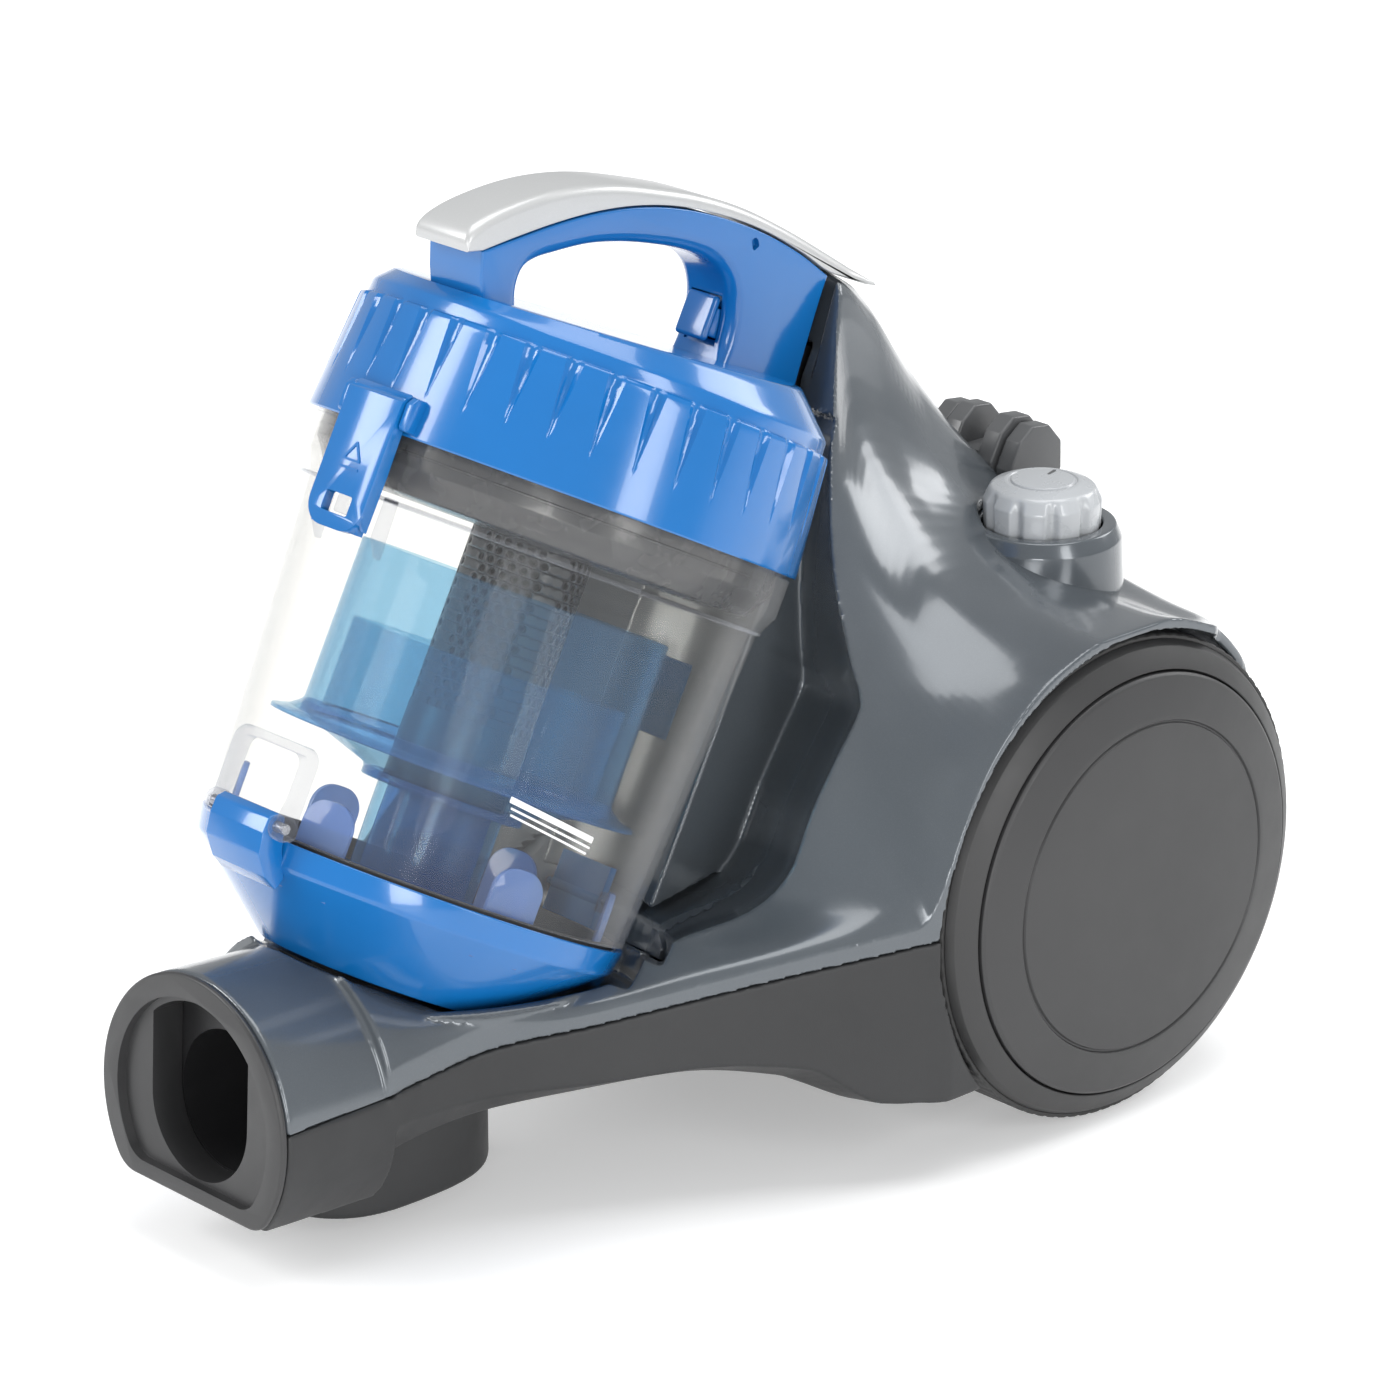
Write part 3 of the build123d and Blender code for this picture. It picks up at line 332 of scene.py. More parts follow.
def prism(name, pts, z0, z1, mat=None, at=ID, bevel=0.0, seg=3, angle=32.0):
    """A closed polygon in local XY, extruded along local Z, with rounded edges."""
    n = len(pts)
    verts = [(x, y, z0) for x, y in pts] + [(x, y, z1) for x, y in pts]
    faces = [tuple(range(n))[::-1], tuple(range(n, 2 * n))]
    faces += [(i, (i + 1) % n, n + (i + 1) % n, n + i) for i in range(n)]
    o = make(name, verts, faces, mat, at, angle)
    if bevel > 0:
        modify(o, "BEVEL", width=bevel * MM, segments=seg, limit_method="ANGLE", angle_limit=math.radians(40), harden_normals=False)
        smooth(o, angle)
    return o


def block(name, lo, hi, mat=None, at=ID, bevel=0.4, seg=2):
    pts = [(lo[0], lo[1]), (hi[0], lo[1]), (hi[0], hi[1]), (lo[0], hi[1])]
    return prism(name, pts, lo[2], hi[2], mat, at, bevel, seg)


def finish(o, body, slot, *nodes, mat=None):
    if mat:
        o.data.materials.clear()
        o.data.materials.append(M[mat])
    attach(o, body)
    if nodes:
        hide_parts(*nodes)
    return o


def pchip(x, y, xs):
    """Monotone cubic interpolation, y of shape (n, ...)."""
    x = np.asarray(x, float)
    y = np.asarray(y, float)
    h = np.diff(x)
    sh = (-1,) + (1,) * (y.ndim - 1)
    d = np.diff(y, axis=0) / h.reshape(sh)
    m = np.zeros_like(y)
    w1 = (2 * h[1:] + h[:-1]).reshape(sh)
    w2 = (h[1:] + 2 * h[:-1]).reshape(sh)
    d0, d1 = d[:-1], d[1:]
    with np.errstate(divide="ignore", invalid="ignore"):
        hm = (w1 + w2) / (w1 / d0 + w2 / d1)
    m[1:-1] = np.where(d0 * d1 > 0, hm, 0.0)
    m[0], m[-1] = d[0], d[-1]
    i = np.clip(np.searchsorted(x, xs) - 1, 0, len(x) - 2)
    t = ((xs - x[i]) / h[i]).reshape(sh)
    hi = h[i].reshape(sh)
    return (y[i] * (2 * t**3 - 3 * t**2 + 1) + m[i] * hi * (t**3 - 2 * t**2 + t)
            + y[i + 1] * (-2 * t**3 + 3 * t**2) + m[i + 1] * hi * (t**3 - t**2))


def smooth_line(pts, step, closed=False):
    """Catmull-Rom line through 2-D points, resampled about every step."""
    p = np.asarray(pts, float)
    n = len(p)
    out = []
    rng = range(n if closed else n - 1)
    for i in rng:
        p0 = p[i - 1] if (closed or i > 0) else 2 * p[0] - p[1]
        p1, p2 = p[i], p[(i + 1) % n]
        p3 = p[(i + 2) % n] if (closed or i + 2 < n) else 2 * p[-1] - p[-2]
        d1, d2, d3 = (max(1e-6, np.linalg.norm(b - a) ** 0.5) for a, b in ((p0, p1), (p1, p2), (p2, p3)))
        m1 = (p2 - p0) / (d1 + d2) * d2 * 0 + ((p1 - p0) / d1 - (p2 - p0) / (d1 + d2) + (p2 - p1) / d2) * d2
        m2 = ((p2 - p1) / d2 - (p3 - p1) / (d2 + d3) + (p3 - p2) / d3) * d2
        k = max(1, int(round(np.linalg.norm(p2 - p1) / step)))
        for j in range(k):
            t = j / k
            out.append(p1 * (2 * t**3 - 3 * t**2 + 1) + m1 * (t**3 - 2 * t**2 + t) + p2 * (-2 * t**3 + 3 * t**2) + m2 * (t**3 - t**2))
    if not closed:
        out.append(p[-1])
    return [tuple(q) for q in out]


# ------------------------------------------------------------------ housing and base sections
UP = {
    -151: [(46, 60.5), (46.3, 63), (46, 68), (43, 76), (37, 85), (28, 93), (16, 99.5), (6, 102), (0, 102.3)],
    -140: [(46.6, 62), (46.9, 65.5), (46.6, 70), (44, 77), (39, 83), (30, 88), (18, 90.5), (8, 90.8), (0, 90.9)],
    -117: [(49.6, 65.8), (49.8, 70), (49.6, 74), (48.5, 77.5), (46, 79), (38, 79.5), (25, 79.6), (10, 79.7), (0, 79.8)],
    -80: [(69.5, 72), (69.8, 77), (68, 79.5), (64, 81), (58, 82), (50, 83), (35, 83.6), (15, 84), (0, 84.2)],
    -50: [(85.7, 77.3), (86, 82.8), (83, 85.5), (77, 87.5), (70, 89.5), (62, 92), (45, 96), (20, 98), (0, 98.4)],
    -18: [(102.9, 82.7), (103.2, 88.7), (99, 91.8), (91, 93.6), (82, 95), (72, 98), (60, 108), (35, 130), (0, 140)],
    6: [(115.8, 86.3), (116.1, 92.7), (111, 97.5), (102, 102.5), (90, 111), (78, 124), (62, 145), (40, 168), (0, 178)],
    16: [(121.2, 88), (121.5, 94.6), (116.5, 102), (106, 110.5), (92, 124), (79, 141), (64, 160), (42, 184), (0, 196)],
    27: [(126, 89), (126, 119), (120.5, 124.5), (109, 132), (95, 142), (80, 156.5), (65, 176), (44, 200), (0, 214)],
    40: [(126, 89), (126, 143), (119, 147), (104, 154), (86, 165), (69, 180), (54, 196), (38, 214), (0, 236)],
    54: [(126, 89), (126, 157.5), (116, 160.5), (98, 167), (78, 179), (59, 196), (44, 215), (33, 236), (0, 252)],
    76: [(126, 89), (126, 170.8), (113, 172), (90, 178), (66, 189), (42, 211), (26, 240), (17, 280), (0, 282)],
    97: [(126, 89), (126, 176.4), (111, 176.6), (88, 179.5), (64, 188), (40, 204), (24, 229), (13, 264), (0, 273)],
    124: [(126, 89), (126, 176.4), (109, 175.5), (88, 176), (64, 182.5), (42, 193), (24, 209), (9, 231), (0, 240)],
    150: [(126, 89), (126, 168.3), (110, 166.5), (88, 168), (64, 173), (42, 181), (24, 191), (9, 204), (0, 209)],
    165: [(114, 89), (114, 160), (106, 162.5), (88, 164), (64, 168), (42, 174), (24, 182), (9, 190), (0, 192)],
    180: [(114, 89), (113, 145), (104, 150), (88, 153), (64, 156), (42, 160), (24, 164), (9, 167), (0, 168)],
    190: [(108, 89), (107, 129), (100, 134), (88, 137), (64, 140), (42, 142), (24, 144), (9, 145), (0, 145.5)],
}
LO = {
    -151: [(0, 26), (20, 26), (36, 32), (45.8, 48), (46, 60.2)],
    -140: [(0, 33.2), (27, 33.2), (39, 38), (46.4, 50), (46.6, 61.7)],
    -117: [(0, 33.2), (27, 33.2), (43, 42), (49.4, 50), (49.6, 65.5)],
    -80: [(0, 33.4), (30, 34.4), (58, 45), (69.2, 51), (69.5, 71.7)],
    -50: [(0, 34), (40, 36), (73, 47), (85.4, 52.5), (85.7, 77)],
    -18: [(0, 34), (55, 36), (88, 41), (102.6, 48), (102.9, 82.4)],
    6: [(0, 29), (70, 29), (102, 29.5), (115.5, 32), (115.8, 86)],
    16: [(0, 28), (75, 28), (107, 28.5), (121, 31), (121.2, 87.7)],
    27: [(0, 28), (80, 28), (110, 28), (125.8, 30), (126, 88.7)],
    40: [(0, 28), (80, 28), (110, 28), (125.8, 30), (126, 88.7)],
    150: [(0, 28), (80, 28), (110, 28), (125.8, 30), (126, 88.7)],
    165: [(0, 29), (78, 29), (100, 31), (113.8, 34), (114, 88.7)],
    180: [(0, 33), (76, 33), (98, 36), (113.8, 40), (114, 88.7)],
    190: [(0, 42), (72, 42), (92, 45), (107.8, 52), (108, 88.7)],
}


def dense_section(p, sub):
    """Half-section: straight lip, then a smooth curve to the crest."""
    out = [p[0]]
    idx = np.arange(len(p) - 1, dtype=float)
    arr = np.array(p[1:], float)
    ts = np.linspace(0, len(p) - 2, sub * (len(p) - 2) + 1)
    out += [tuple(q) for q in pchip(idx, arr, ts)]
    return out


def loft(name, table, sub=5, step=2.6, lower=False, y0=None, y1=None):
    ys = sorted(table)
    if lower:
        secs = np.array([table[y] for y in ys], float)
    else:
        secs = np.array([dense_section(table[y], sub) for y in ys], float)
    a, b = ys[0], ys[-1]
    n = int((b - a) / step)
    yy = np.linspace(a, b, n + 1)
    grid = pchip(np.array(ys, float), secs, yy)
    if y0 is not None:
        yy = y0 + (yy - a) * (y1 - y0) / (b - a)
    k = grid.shape[1]
    verts, rows = [], []
    for i, y in enumerate(yy):
        half = [(x, z) for x, z in grid[i]]
        ring = half + [(-x, z) for x, z in reversed(half) if x > 1e-6]
        rows.append(list(range(len(verts), len(verts) + len(ring))))
        verts += [(x, y, z) for x, z in ring]
    faces = []
    for i in range(len(rows) - 1):
        r0, r1 = rows[i], rows[i + 1]
        m = len(r0)
        for q in range(m):
            w = (q + 1) % m
            faces.append((r0[q], r1[q], r1[w], r0[w]))
    faces.append(tuple(rows[0]))
    faces.append(tuple(rows[-1])[::-1])
    return make(name, verts, faces)


BARREL = [(76, 150), (76, 135), (79, 100), (88.5, 45), (100, 5), (112.5, -19), (120.5, -33), (118.5, -52),
          (117, -72), (117.2, -88), (114.5, -99), (108.5, -108), (89.5, -124), (82, -132)]


def barrel(grow, n=160):
    p = sorted(BARREL, key=lambda q: q[1])
    s = np.array([q[1] for q in p], float)
    r = np.array([q[0] for q in p], float)
    ss = np.linspace(s[0], s[-1], 60)
    rr = pchip(s, r, ss)
    prof = [(0, ss[0] - grow)] + [(float(a) + grow, float(b) - (grow if i == 0 else 0)) for i, (a, b) in enumerate(zip(rr, ss))] + [(0, ss[-1])]
    return lathe("cut_barrel", prof, at=BIN, n=n)


def seat(grow, n=160):
    prof = [(0, -171.2 - grow), (42.6 + 0.55 * grow, -171.2 - grow), (74.6 + grow, -145.0 - 0.4 * grow),
            (81.5 + grow, -144.6 - 0.4 * grow), (81.5 + grow, -120), (0, -120)]
    return lathe("cut_seat", prof, at=BIN, n=n)


def carve(o, grow, n=160):
    """Take the bin cradle and the wheel arches out of a body."""
    b = barrel(grow, n)
    pier = block("pier", (-28 + grow, 0, -160), (28 - grow, 170, 56 - grow), at=BIN, bevel=0)
    boolean(b, pier)
    boolean(o, b)
    boolean(o, lathe("cut_back", [(0, -134), (88 + grow, -134), (88 + grow, 56), (0, 56)], at=BIN, n=n))
    boolean(o, block("cut_slot", (-14.8 - grow, 0, 40), (14.8 + grow, 83.6 + grow, 150), at=BIN, bevel=0))
    boolean(o, seat(grow, n))
    wheels(o, grow, n)
    return o


def wheels(o, grow, n=160):
    for at in (WHEEL, WHEEL_L):
        boolean(o, lathe("cut_wheel", [(0, 88.0 - grow), (88.5 + grow, 88.0 - grow), (88.5 + grow, 150), (0, 150)], at=at, n=n))


def neck_body(r_in, r_out_back, r_out_front, d0, d1, flat):
    o = lathe("neck", fillet([(0, -d1), (r_out_back, -d1), (r_out_front, -d0), (0, -d0)], [0, 0, 0.9, 0]), at=NECK, n=160)
    boolean(o, block("flat", (-60, -70, -80), (60, -flat, 20), at=NECK, bevel=0))
    return o


def mouth_hole():
    o = lathe("hole", [(0, -47.0), (43.6, -47.0), (43.6, 4), (0, 4)], at=NECK, n=128)
    boolean(o, block("flat", (-60, -70, -80), (60, -28.8, 20), at=NECK, bevel=0))
    return o


# ------------------------------------------------------------------ upper housing
def build_upper():
    o = loft("upper_shell", UP)
    nk = neck_body(0, 46.0, 46.5, 2.8, 50, 31.0)
    boolean(nk, block("low", (-70, -230, 0), (70, -100, 60.0), bevel=0))
    boolean(o, nk, "UNION")
    cup = seat(2.6)
    boolean(cup, block("cup", (-62, -150, 40), (62, -25, 82), bevel=0), "INTERSECT")
    boolean(o, cup, "UNION")
    carve(o, 0)
    for sx in (1, -1):
        boolean(o, lathe("k", [(0, 172), (22.2, 172), (22.2, 230), (0, 230)], at=Matrix.Translation((sx * 55, 139, 0)), n=96))
        boolean(o, lathe("a", [(0, 80), (15.2, 80), (15.2, 95), (0, 95)], at=WHEEL if sx == 1 else WHEEL_L, n=64))
    boolean(o, block("g", (-56, 180, 97), (56, 200, 133), bevel=0))
    boolean(o, block("w", (-9, 80, 60.5), (9, 108, 78), at=BIN, bevel=0))
    port = Matrix.Translation((0, 70, 18)) @ Matrix.Rotation(math.radians(-90), 4, "X")
    boolean(o, lathe("p", [(0, 0), (15.2, 0), (15.2, 26), (0, 26)], at=BIN @ port, n=64))
    boolean(o, lathe("q", [(0, -182), (17.2, -182), (17.2, -165), (0, -165)], at=BIN, n=64))
    soften(o, 0.85, 3)
    inner = {}
    for y, p in UP.items():
        q = []
        for i, (x, z) in enumerate(p):
            a, b = p[max(i - 1, 0)], p[min(i + 1, len(p) - 1)]
            dx, dz = b[0] - a[0], b[1] - a[1]
            n = math.hypot(dx, dz)
            q.append((max(0.0, x - 2.6 * abs(dz) / n), z - 2.6 * abs(dx) / n * (1 if dx < 0 else -1)))
        q[-1] = (0, p[-1][1] - 2.6)
        q[0] = (q[1][0], p[0][1] - 6)
        inner[y] = q
    hollow = loft("hollow", inner, sub=1, step=7, y0=-148.4, y1=187.4)
    b = barrel(2.6, 64)
    boolean(b, block("pier", (-25.4, 0, -160), (25.4, 170, 53.4), at=BIN, bevel=0))
    boolean(hollow, b)
    boolean(hollow, lathe("cb", [(0, -134), (90.6, -134), (90.6, 58), (0, 58)], at=BIN, n=64))
    boolean(hollow, block("cs", (-17.4, 0, 40), (17.4, 86.2, 152), at=BIN, bevel=0))
    boolean(hollow, seat(2.6, 64))
    thick = barrel(11, 64)
    boolean(thick, lathe("cb", [(0, -145), (99, -145), (99, 20), (0, 20)], at=BIN, n=64), "UNION")
    boolean(thick, block("tz", (-140, -92, 40), (140, 190, 122), bevel=0), "INTERSECT")
    boolean(hollow, thick)
    wheels(hollow, 2.6, 64)
    boolean(o, hollow)
    boolean(o, mouth_hole())
    deep = {}
    for y, q in UP.items():
        deep[y] = [(max(1.0, q[0][0] - 3.0), 45.0), (max(1.0, q[0][0] - 3.0), q[0][1] + 1.0)] + [(max(0.0, x - 1.2) if x > 0 else 0, z) for x, z in q[1:]]
    tray = loft("tray", deep, sub=1, step=7, y0=-60, y1=186)
    ring = barrel(2.6, 96)
    boolean(ring, lathe("cb", [(0, -134), (90.6, -134), (90.6, 58), (0, 58)], at=BIN, n=96), "UNION")
    boolean(ring, block("zb", (-140, -60, 45), (140, 190, 110), bevel=0), "INTERSECT")
    boolean(tray, ring, "INTERSECT")
    boolean(tray, barrel(0, 96))
    boolean(tray, lathe("cb", [(0, -134), (88, -134), (88, 58), (0, 58)], at=BIN, n=96))
    boolean(tray, seat(0, 96))
    boolean(o, tray, "UNION")
    o.data.shade_smooth()
    o.data.set_sharp_from_angle(angle=math.radians(50))
    o.name = "upper_shell"
    return finish(o, "chassis", "grey_gloss", "upper_housing", mat="grey")


# ------------------------------------------------------------------ base pan
def boat_outline(t):
    return [(0, -161 + t), (13, -158 + t), (22 - 0.6 * t, -150 + 0.5 * t), (27 - t, -138), (27 - t, -104),
            (22 - 0.8 * t, -90 - 0.5 * t), (12, -80 - t), (0, -77 - t), (-12, -80 - t),
            (-22 + 0.8 * t, -90 - 0.5 * t), (-27 + t, -104), (-27 + t, -138), (-22 + 0.6 * t, -150 + 0.5 * t), (-13, -158 + t)]


def build_base():
    o = loft("base_shell", LO, lower=True)
    nk = neck_body(0, 46.0, 46.5, 2.8, 50, 31.0)
    boolean(nk, block("up", (-70, -230, 59.7), (70, -100, 120), bevel=0))
    boolean(nk, block("r", (-70, -147.5, 0), (70, -100, 120), bevel=0))
    boolean(o, block("t", (-60, -152, 59.7), (60, -147.4, 72), bevel=0))
    boolean(o, nk, "UNION")
    boat = prism("boat", smooth_line(boat_outline(0), 2.0, closed=True), 8, 40, bevel=1.2)
    boolean(o, boat, "UNION")
    wheels(o, 0)
    boolean(o, seat(3.2))
    pocket = prism("pocket", smooth_line(boat_outline(2.6), 2.0, closed=True), -5, 33)
    boolean(pocket, block("pf", (-60, -170, -10), (60, -143.9, 40), bevel=0))
    boolean(o, pocket)
    boolean(o, lathe("cg", [(0, 178), (9.0, 178), (9.0, 200), (0, 200)], at=Matrix.Translation((52, 0, 66)) @ Matrix.Rotation(math.radians(-90), 4, "X"), n=48))
    soften(o, 0.9, 3)
    inner = {}
    for y, p in LO.items():
        inner[y] = [(0, p[0][1] + 2.6), (p[1][0] - 1, p[1][1] + 2.6), (p[2][0] - 2, p[2][1] + 2.6), (p[3][0] - 2.6, p[3][1] + 1.5), (p[4][0] - 2.6, p[4][1] + 6)]
    inner[-151] = [(0, 36), (17, 36), (33, 40), (43.2, 50), (43.4, 66)]
    hollow = loft("hollow", inner, step=7, lower=True, y0=-140.4, y1=187.4)
    wheels(hollow, 2.6, 64)
    boolean(o, hollow)
    boolean(o, mouth_hole())
    boss = lathe("boss", [(3.05, 30.6), (7, 30.6), (7, 37), (3.05, 37)], at=Matrix.Translation((0, -118, 0)), n=48)
    boolean(o, lathe("bh", [(0, 20), (3.05, 20), (3.05, 60), (0, 60)], at=Matrix.Translation((0, -118, 0)), n=48))
    boolean(o, boss, "UNION")
    for at in (WHEEL, WHEEL_L):
        boolean(o, lathe("ab", [(0, 83), (14, 83), (14, 97.4), (0, 97.4)], at=at, n=64), "UNION")
        boolean(o, lathe("ah", [(0, 60), (8.0, 60), (8.0, 130), (0, 130)], at=at, n=64))
    o.data.shade_smooth()
    o.data.set_sharp_from_angle(angle=math.radians(50))
    o.name = "base_shell"
    return finish(o, "chassis", "dark_matte", "base_pan", mat="base")


build_upper()
build_base()


# ------------------------------------------------------------------ inlet collar
def disc_outline(r, flat, side=None, top=None, n=96, cr=4):
    pts = []
    for i in range(n):
        a = 2 * math.pi * i / n
        x, y = r * math.cos(a), r * math.sin(a)
        if side:
            x = max(-side, min(side, x))
        y = max(-flat, y)
        if top:
            y = min(top, y)
        if not pts or math.hypot(x - pts[-1][0], y - pts[-1][1]) > 0.4:
            pts.append((x, y))
    return pts


def rounded_disc(r, flat, cr, n=120):
    """Disc of radius r with a flat below, its two corners rounded by cr."""
    a0 = math.asin(flat / r)
    pts = [(r * math.cos(a), r * math.sin(a)) for a in np.linspace(-a0, math.pi + a0, n)]
    return fillet(pts, [cr] + [0] * (n - 2) + [cr], 8)


def mouth_outline(r_top, half, n=40):
    low = [(half * math.cos(a), half * math.sin(a)) for a in np.linspace(math.pi, 2 * math.pi, n)]
    a1 = math.acos(half / r_top)
    top = [(r_top * math.cos(a), r_top * math.sin(a)) for a in np.linspace(a1, math.pi - a1, n)]
    return low + top


def rounded_flat(r, flat, cr, n=120):
    """Same disc, its corners rounded by an arc that is tangent to the flat and to the circle."""
    yc = -flat + cr
    xc = math.sqrt((r - cr) ** 2 - yc ** 2)
    t = math.atan2(yc, xc)
    right = [(xc + cr * math.cos(a), yc + cr * math.sin(a)) for a in np.linspace(-math.pi / 2, t, 14)]
    arc = [(r * math.cos(a), r * math.sin(a)) for a in np.linspace(t, math.pi - t, n)][1:-1]
    left = [(-x, y) for x, y in reversed(right)]
    return right + arc + left


def build_collar():
    o = prism("collar", rounded_flat(46.4, 31.0, 11.0), -2.6, -0.1, at=NECK, bevel=1.1, seg=4)
    sl = prism("sleeve", rounded_flat(43.2, 28.4, 9.0), -15.8, -2.0, at=NECK)
    boolean(o, sl, "UNION")
    boolean(o, prism("recess", rounded_flat(38.4, 25.2, 9.5), -3.6, 5, at=NECK))
    boolean(o, prism("hole", mouth_outline(36.2, 24.3), -30, 5, at=NECK))
    modify(o, "BEVEL", width=0.8 * MM, segments=3, limit_method="ANGLE", angle_limit=math.radians(50))
    smooth(o, 40)
    o.name = "collar_ring"
    o.data.materials.clear()
    o.data.materials.append(M["collar"])
    finish(o, "chassis", "dark_matte", "inlet_collar")
    return o


build_collar()

# ------------------------------------------------------------------ wheels
W_PROF = fillet([(83.9, 98), (83.9, 121.5), (82.2, 124.3), (75.1, 129), (75.1, 126), (74, 125.5), (8.05, 125.5), (8.05, 98), (16, 98),
                 (16, 121.5), (20, 122.5), (74, 122.5), (78, 120.5), (81.4, 118), (81.4, 98)],
                [0.3, 0.4, 1.2, 0.5, 0.2, 0.2, 0, 0, 0.6, 2, 2, 3, 3, 3, 0.5])
C_PROF = fillet([(74.4, 126.35), (74.4, 129.2), (73.4, 130.1), (61, 132.6), (58.9, 133.0), (58.4, 132.2), (57.9, 132.2), (57.4, 133.15), (30, 133.85),
                 (0, 134.0), (0, 131.4), (57, 130.6), (72, 127)], [0.3, 0.6, 1.5, 1, 0.35, 0.1, 0.1, 0.35, 0, 0, 0, 0, 0])
T_PROF = fillet([(83.9, 99.5), (85.2, 99.5), (85.7, 100.4), (85.7, 120.6), (85.2, 121.4), (83.9, 121.4)], 0.4, 3)
for side, at in (("right", WHEEL), ("left", WHEEL_L)):
    body = "wheel_" + side
    w = lathe("wheel_disc_" + side, W_PROF, "wheel", at, n=256, angle=28)
    for k in range(6):
        rib = block("rib", (14, -1.3, 101), (82, 1.3, 122.8), at=at @ Matrix.Rotation(math.radians(60 * k), 4, "Z"), bevel=0)
        boolean(w, rib, "UNION")
    smooth(w, 28)
    finish(w, body, "wheel_grey", "rear_wheel_" + side)
    finish(lathe("wheel_hubcap_" + side, C_PROF, "cap", at, n=256, angle=28), body, "wheel_cap", "wheel_cap_" + side)

    def tread(a, r, z):
        return (r - (0.25 if r > 85 and math.cos(a * 96) > 0.55 else 0), z)
    finish(lathe("wheel_tyre_" + side, T_PROF, "tyre", at, n=768, angle=40, shape=tread), body, "tyre_soft", "tyre_" + side)


# ------------------------------------------------------------------ lid
def build_lid():
    side = [0.0, 0.6, 2, 5, 8, 11, 13, 14, 15, 16.5, 18, 20, 22, 24, 26, 28, 30, 32, 34, 36, 38, 39.5, 40.4, 40.9]
    inner = [(54, 52.2), (76.2, 44.8), (79.2, 39.0), (80.9, 22), (79.5, 18.4), (79.5, 16.0), (82.2, 15.7), (82.8, 0.5)]
    # columns of one flute period: inside the V (0..1 of its half width), then the land between two flutes
    cols = [(-1, 0.0), (-1, 0.5), (-1, 0.92), (0, -1.0), (0, -0.72), (0, -0.4), (0, 0.0), (0, 0.4), (0, 0.72), (0, 1.0), (1, 0.08), (1, 0.5)]
    n = 36 * len(cols)
    rows = []
    for i in range(n):
        kf, (zone, q) = divmod(i, len(cols))[0], cols[i % len(cols)]
        ac = math.radians(kf * 10.0)
        row = []

        def angle_at(s):
            t = max(0.0, min(1.0, (s - 13.5) / 27.0))
            half = (0.25 + 2.75 * t ** 0.9) / 83.0
            edge = math.radians(5.0)
            if zone == 0:
                return ac + q * half, t, abs(q)
            if zone < 0:
                return ac - edge + q * (edge - half) * 0.985, t, 1.0
            return ac + half + q * (edge - half), t, 1.0
        for s in side:
            a, t, v = angle_at(s)
            r = 85.2 - 3.5 * s / 41.0
            if s < 0.3:
                r -= 0.35
            d = (1 - v) * 2.2 if v < 1 else 0.0
            r -= min(1.55, d) * min(1.0, t * 1.5)
            if s > 40.2:
                r -= 0.45 * (s - 40.2) / 0.7
            row.append((r, s, a))
        a = angle_at(60.0)[0]
        sa = math.sin(a)
        rt = 70.07 / (1.017 + 0.085 * sa)
        st_ = 46 + (79.2 - rt) / 0.983
        tail = [(79.6, 41.5), (79.45, 42.2), (79.3, 45.2), (79.0, 46.0), (78.4, 46.75)]
        for f in (0.25, 0.5, 0.75, 0.93):
            tail.append((79.2 + (rt - 79.2) * f, 46 + (st_ - 46) * f))
        e = rt - 0.9
        tail.append((rt - 0.15, 56.5 + 0.085 * (rt - 0.15) * sa - 0.25))
        for r in (e - 0.3, 60, 45, 30, 15, 0.0):
            tail.append((r, 56.5 + 0.085 * r * sa))
        for r in (0.0, 20, 40):
            tail.append((r, 53.6 + 0.085 * r * sa))
        tail += [(r, s + (0.085 * r * sa if r < 60 else 0)) for r, s in inner]
        row += [(r, s, a) for r, s in tail]
        rows.append(row)
    k = len(rows[0])
    verts, faces = [], []
    for i, row in enumerate(rows):
        verts += [(r * math.cos(a), r * math.sin(a), s) for r, s, a in row]
    for i in range(n):
        j = (i + 1) % n
        for q in range(k):
            w = (q + 1) % k
            if rows[i][q][0] < 1e-6 and rows[i][w][0] < 1e-6:
                continue
            faces.append((i * k + q, j * k + q, j * k + w, i * k + w))
    o = make("lid_cap", verts, faces, "blue", BIN, 26)
    port = Matrix.Translation((0, 70, 18)) @ Matrix.Rotation(math.radians(-90), 4, "X")
    boolean(o, lathe("p", [(0, 0), (13.0, 0), (13.0, 26), (0, 26)], at=BIN @ port, n=64))
    smooth(o, 26)
    finish(o, "lid", "blue_gloss", "bin_lid")
    for sx in (1, -1):
        x0, x1 = sorted((sx * 13.5, sx * 16.4))
        e = prism("tab_ear_" + ("right" if sx > 0 else "left"), fillet([(-88.6, 1.2), (-82.9, 1.2), (-82.4, 12.4), (-86.6, 12.4), (-88.6, 10)], [1.6, 0, 0, 1, 1]), x0, x1,
                  "blue", BIN @ Matrix(((0, 0, 1, 0), (1, 0, 0, 0), (0, 1, 0, 0), (0, 0, 0, 1))), bevel=0.4)
        finish(e, "lid", "blue_gloss")


build_lid()
YS_ = Matrix(((0, 0, 1, 0), (1, 0, 0, 0), (0, 1, 0, 0), (0, 0, 0, 1)))        # local (x, y, z) -> (Y, Z, X)


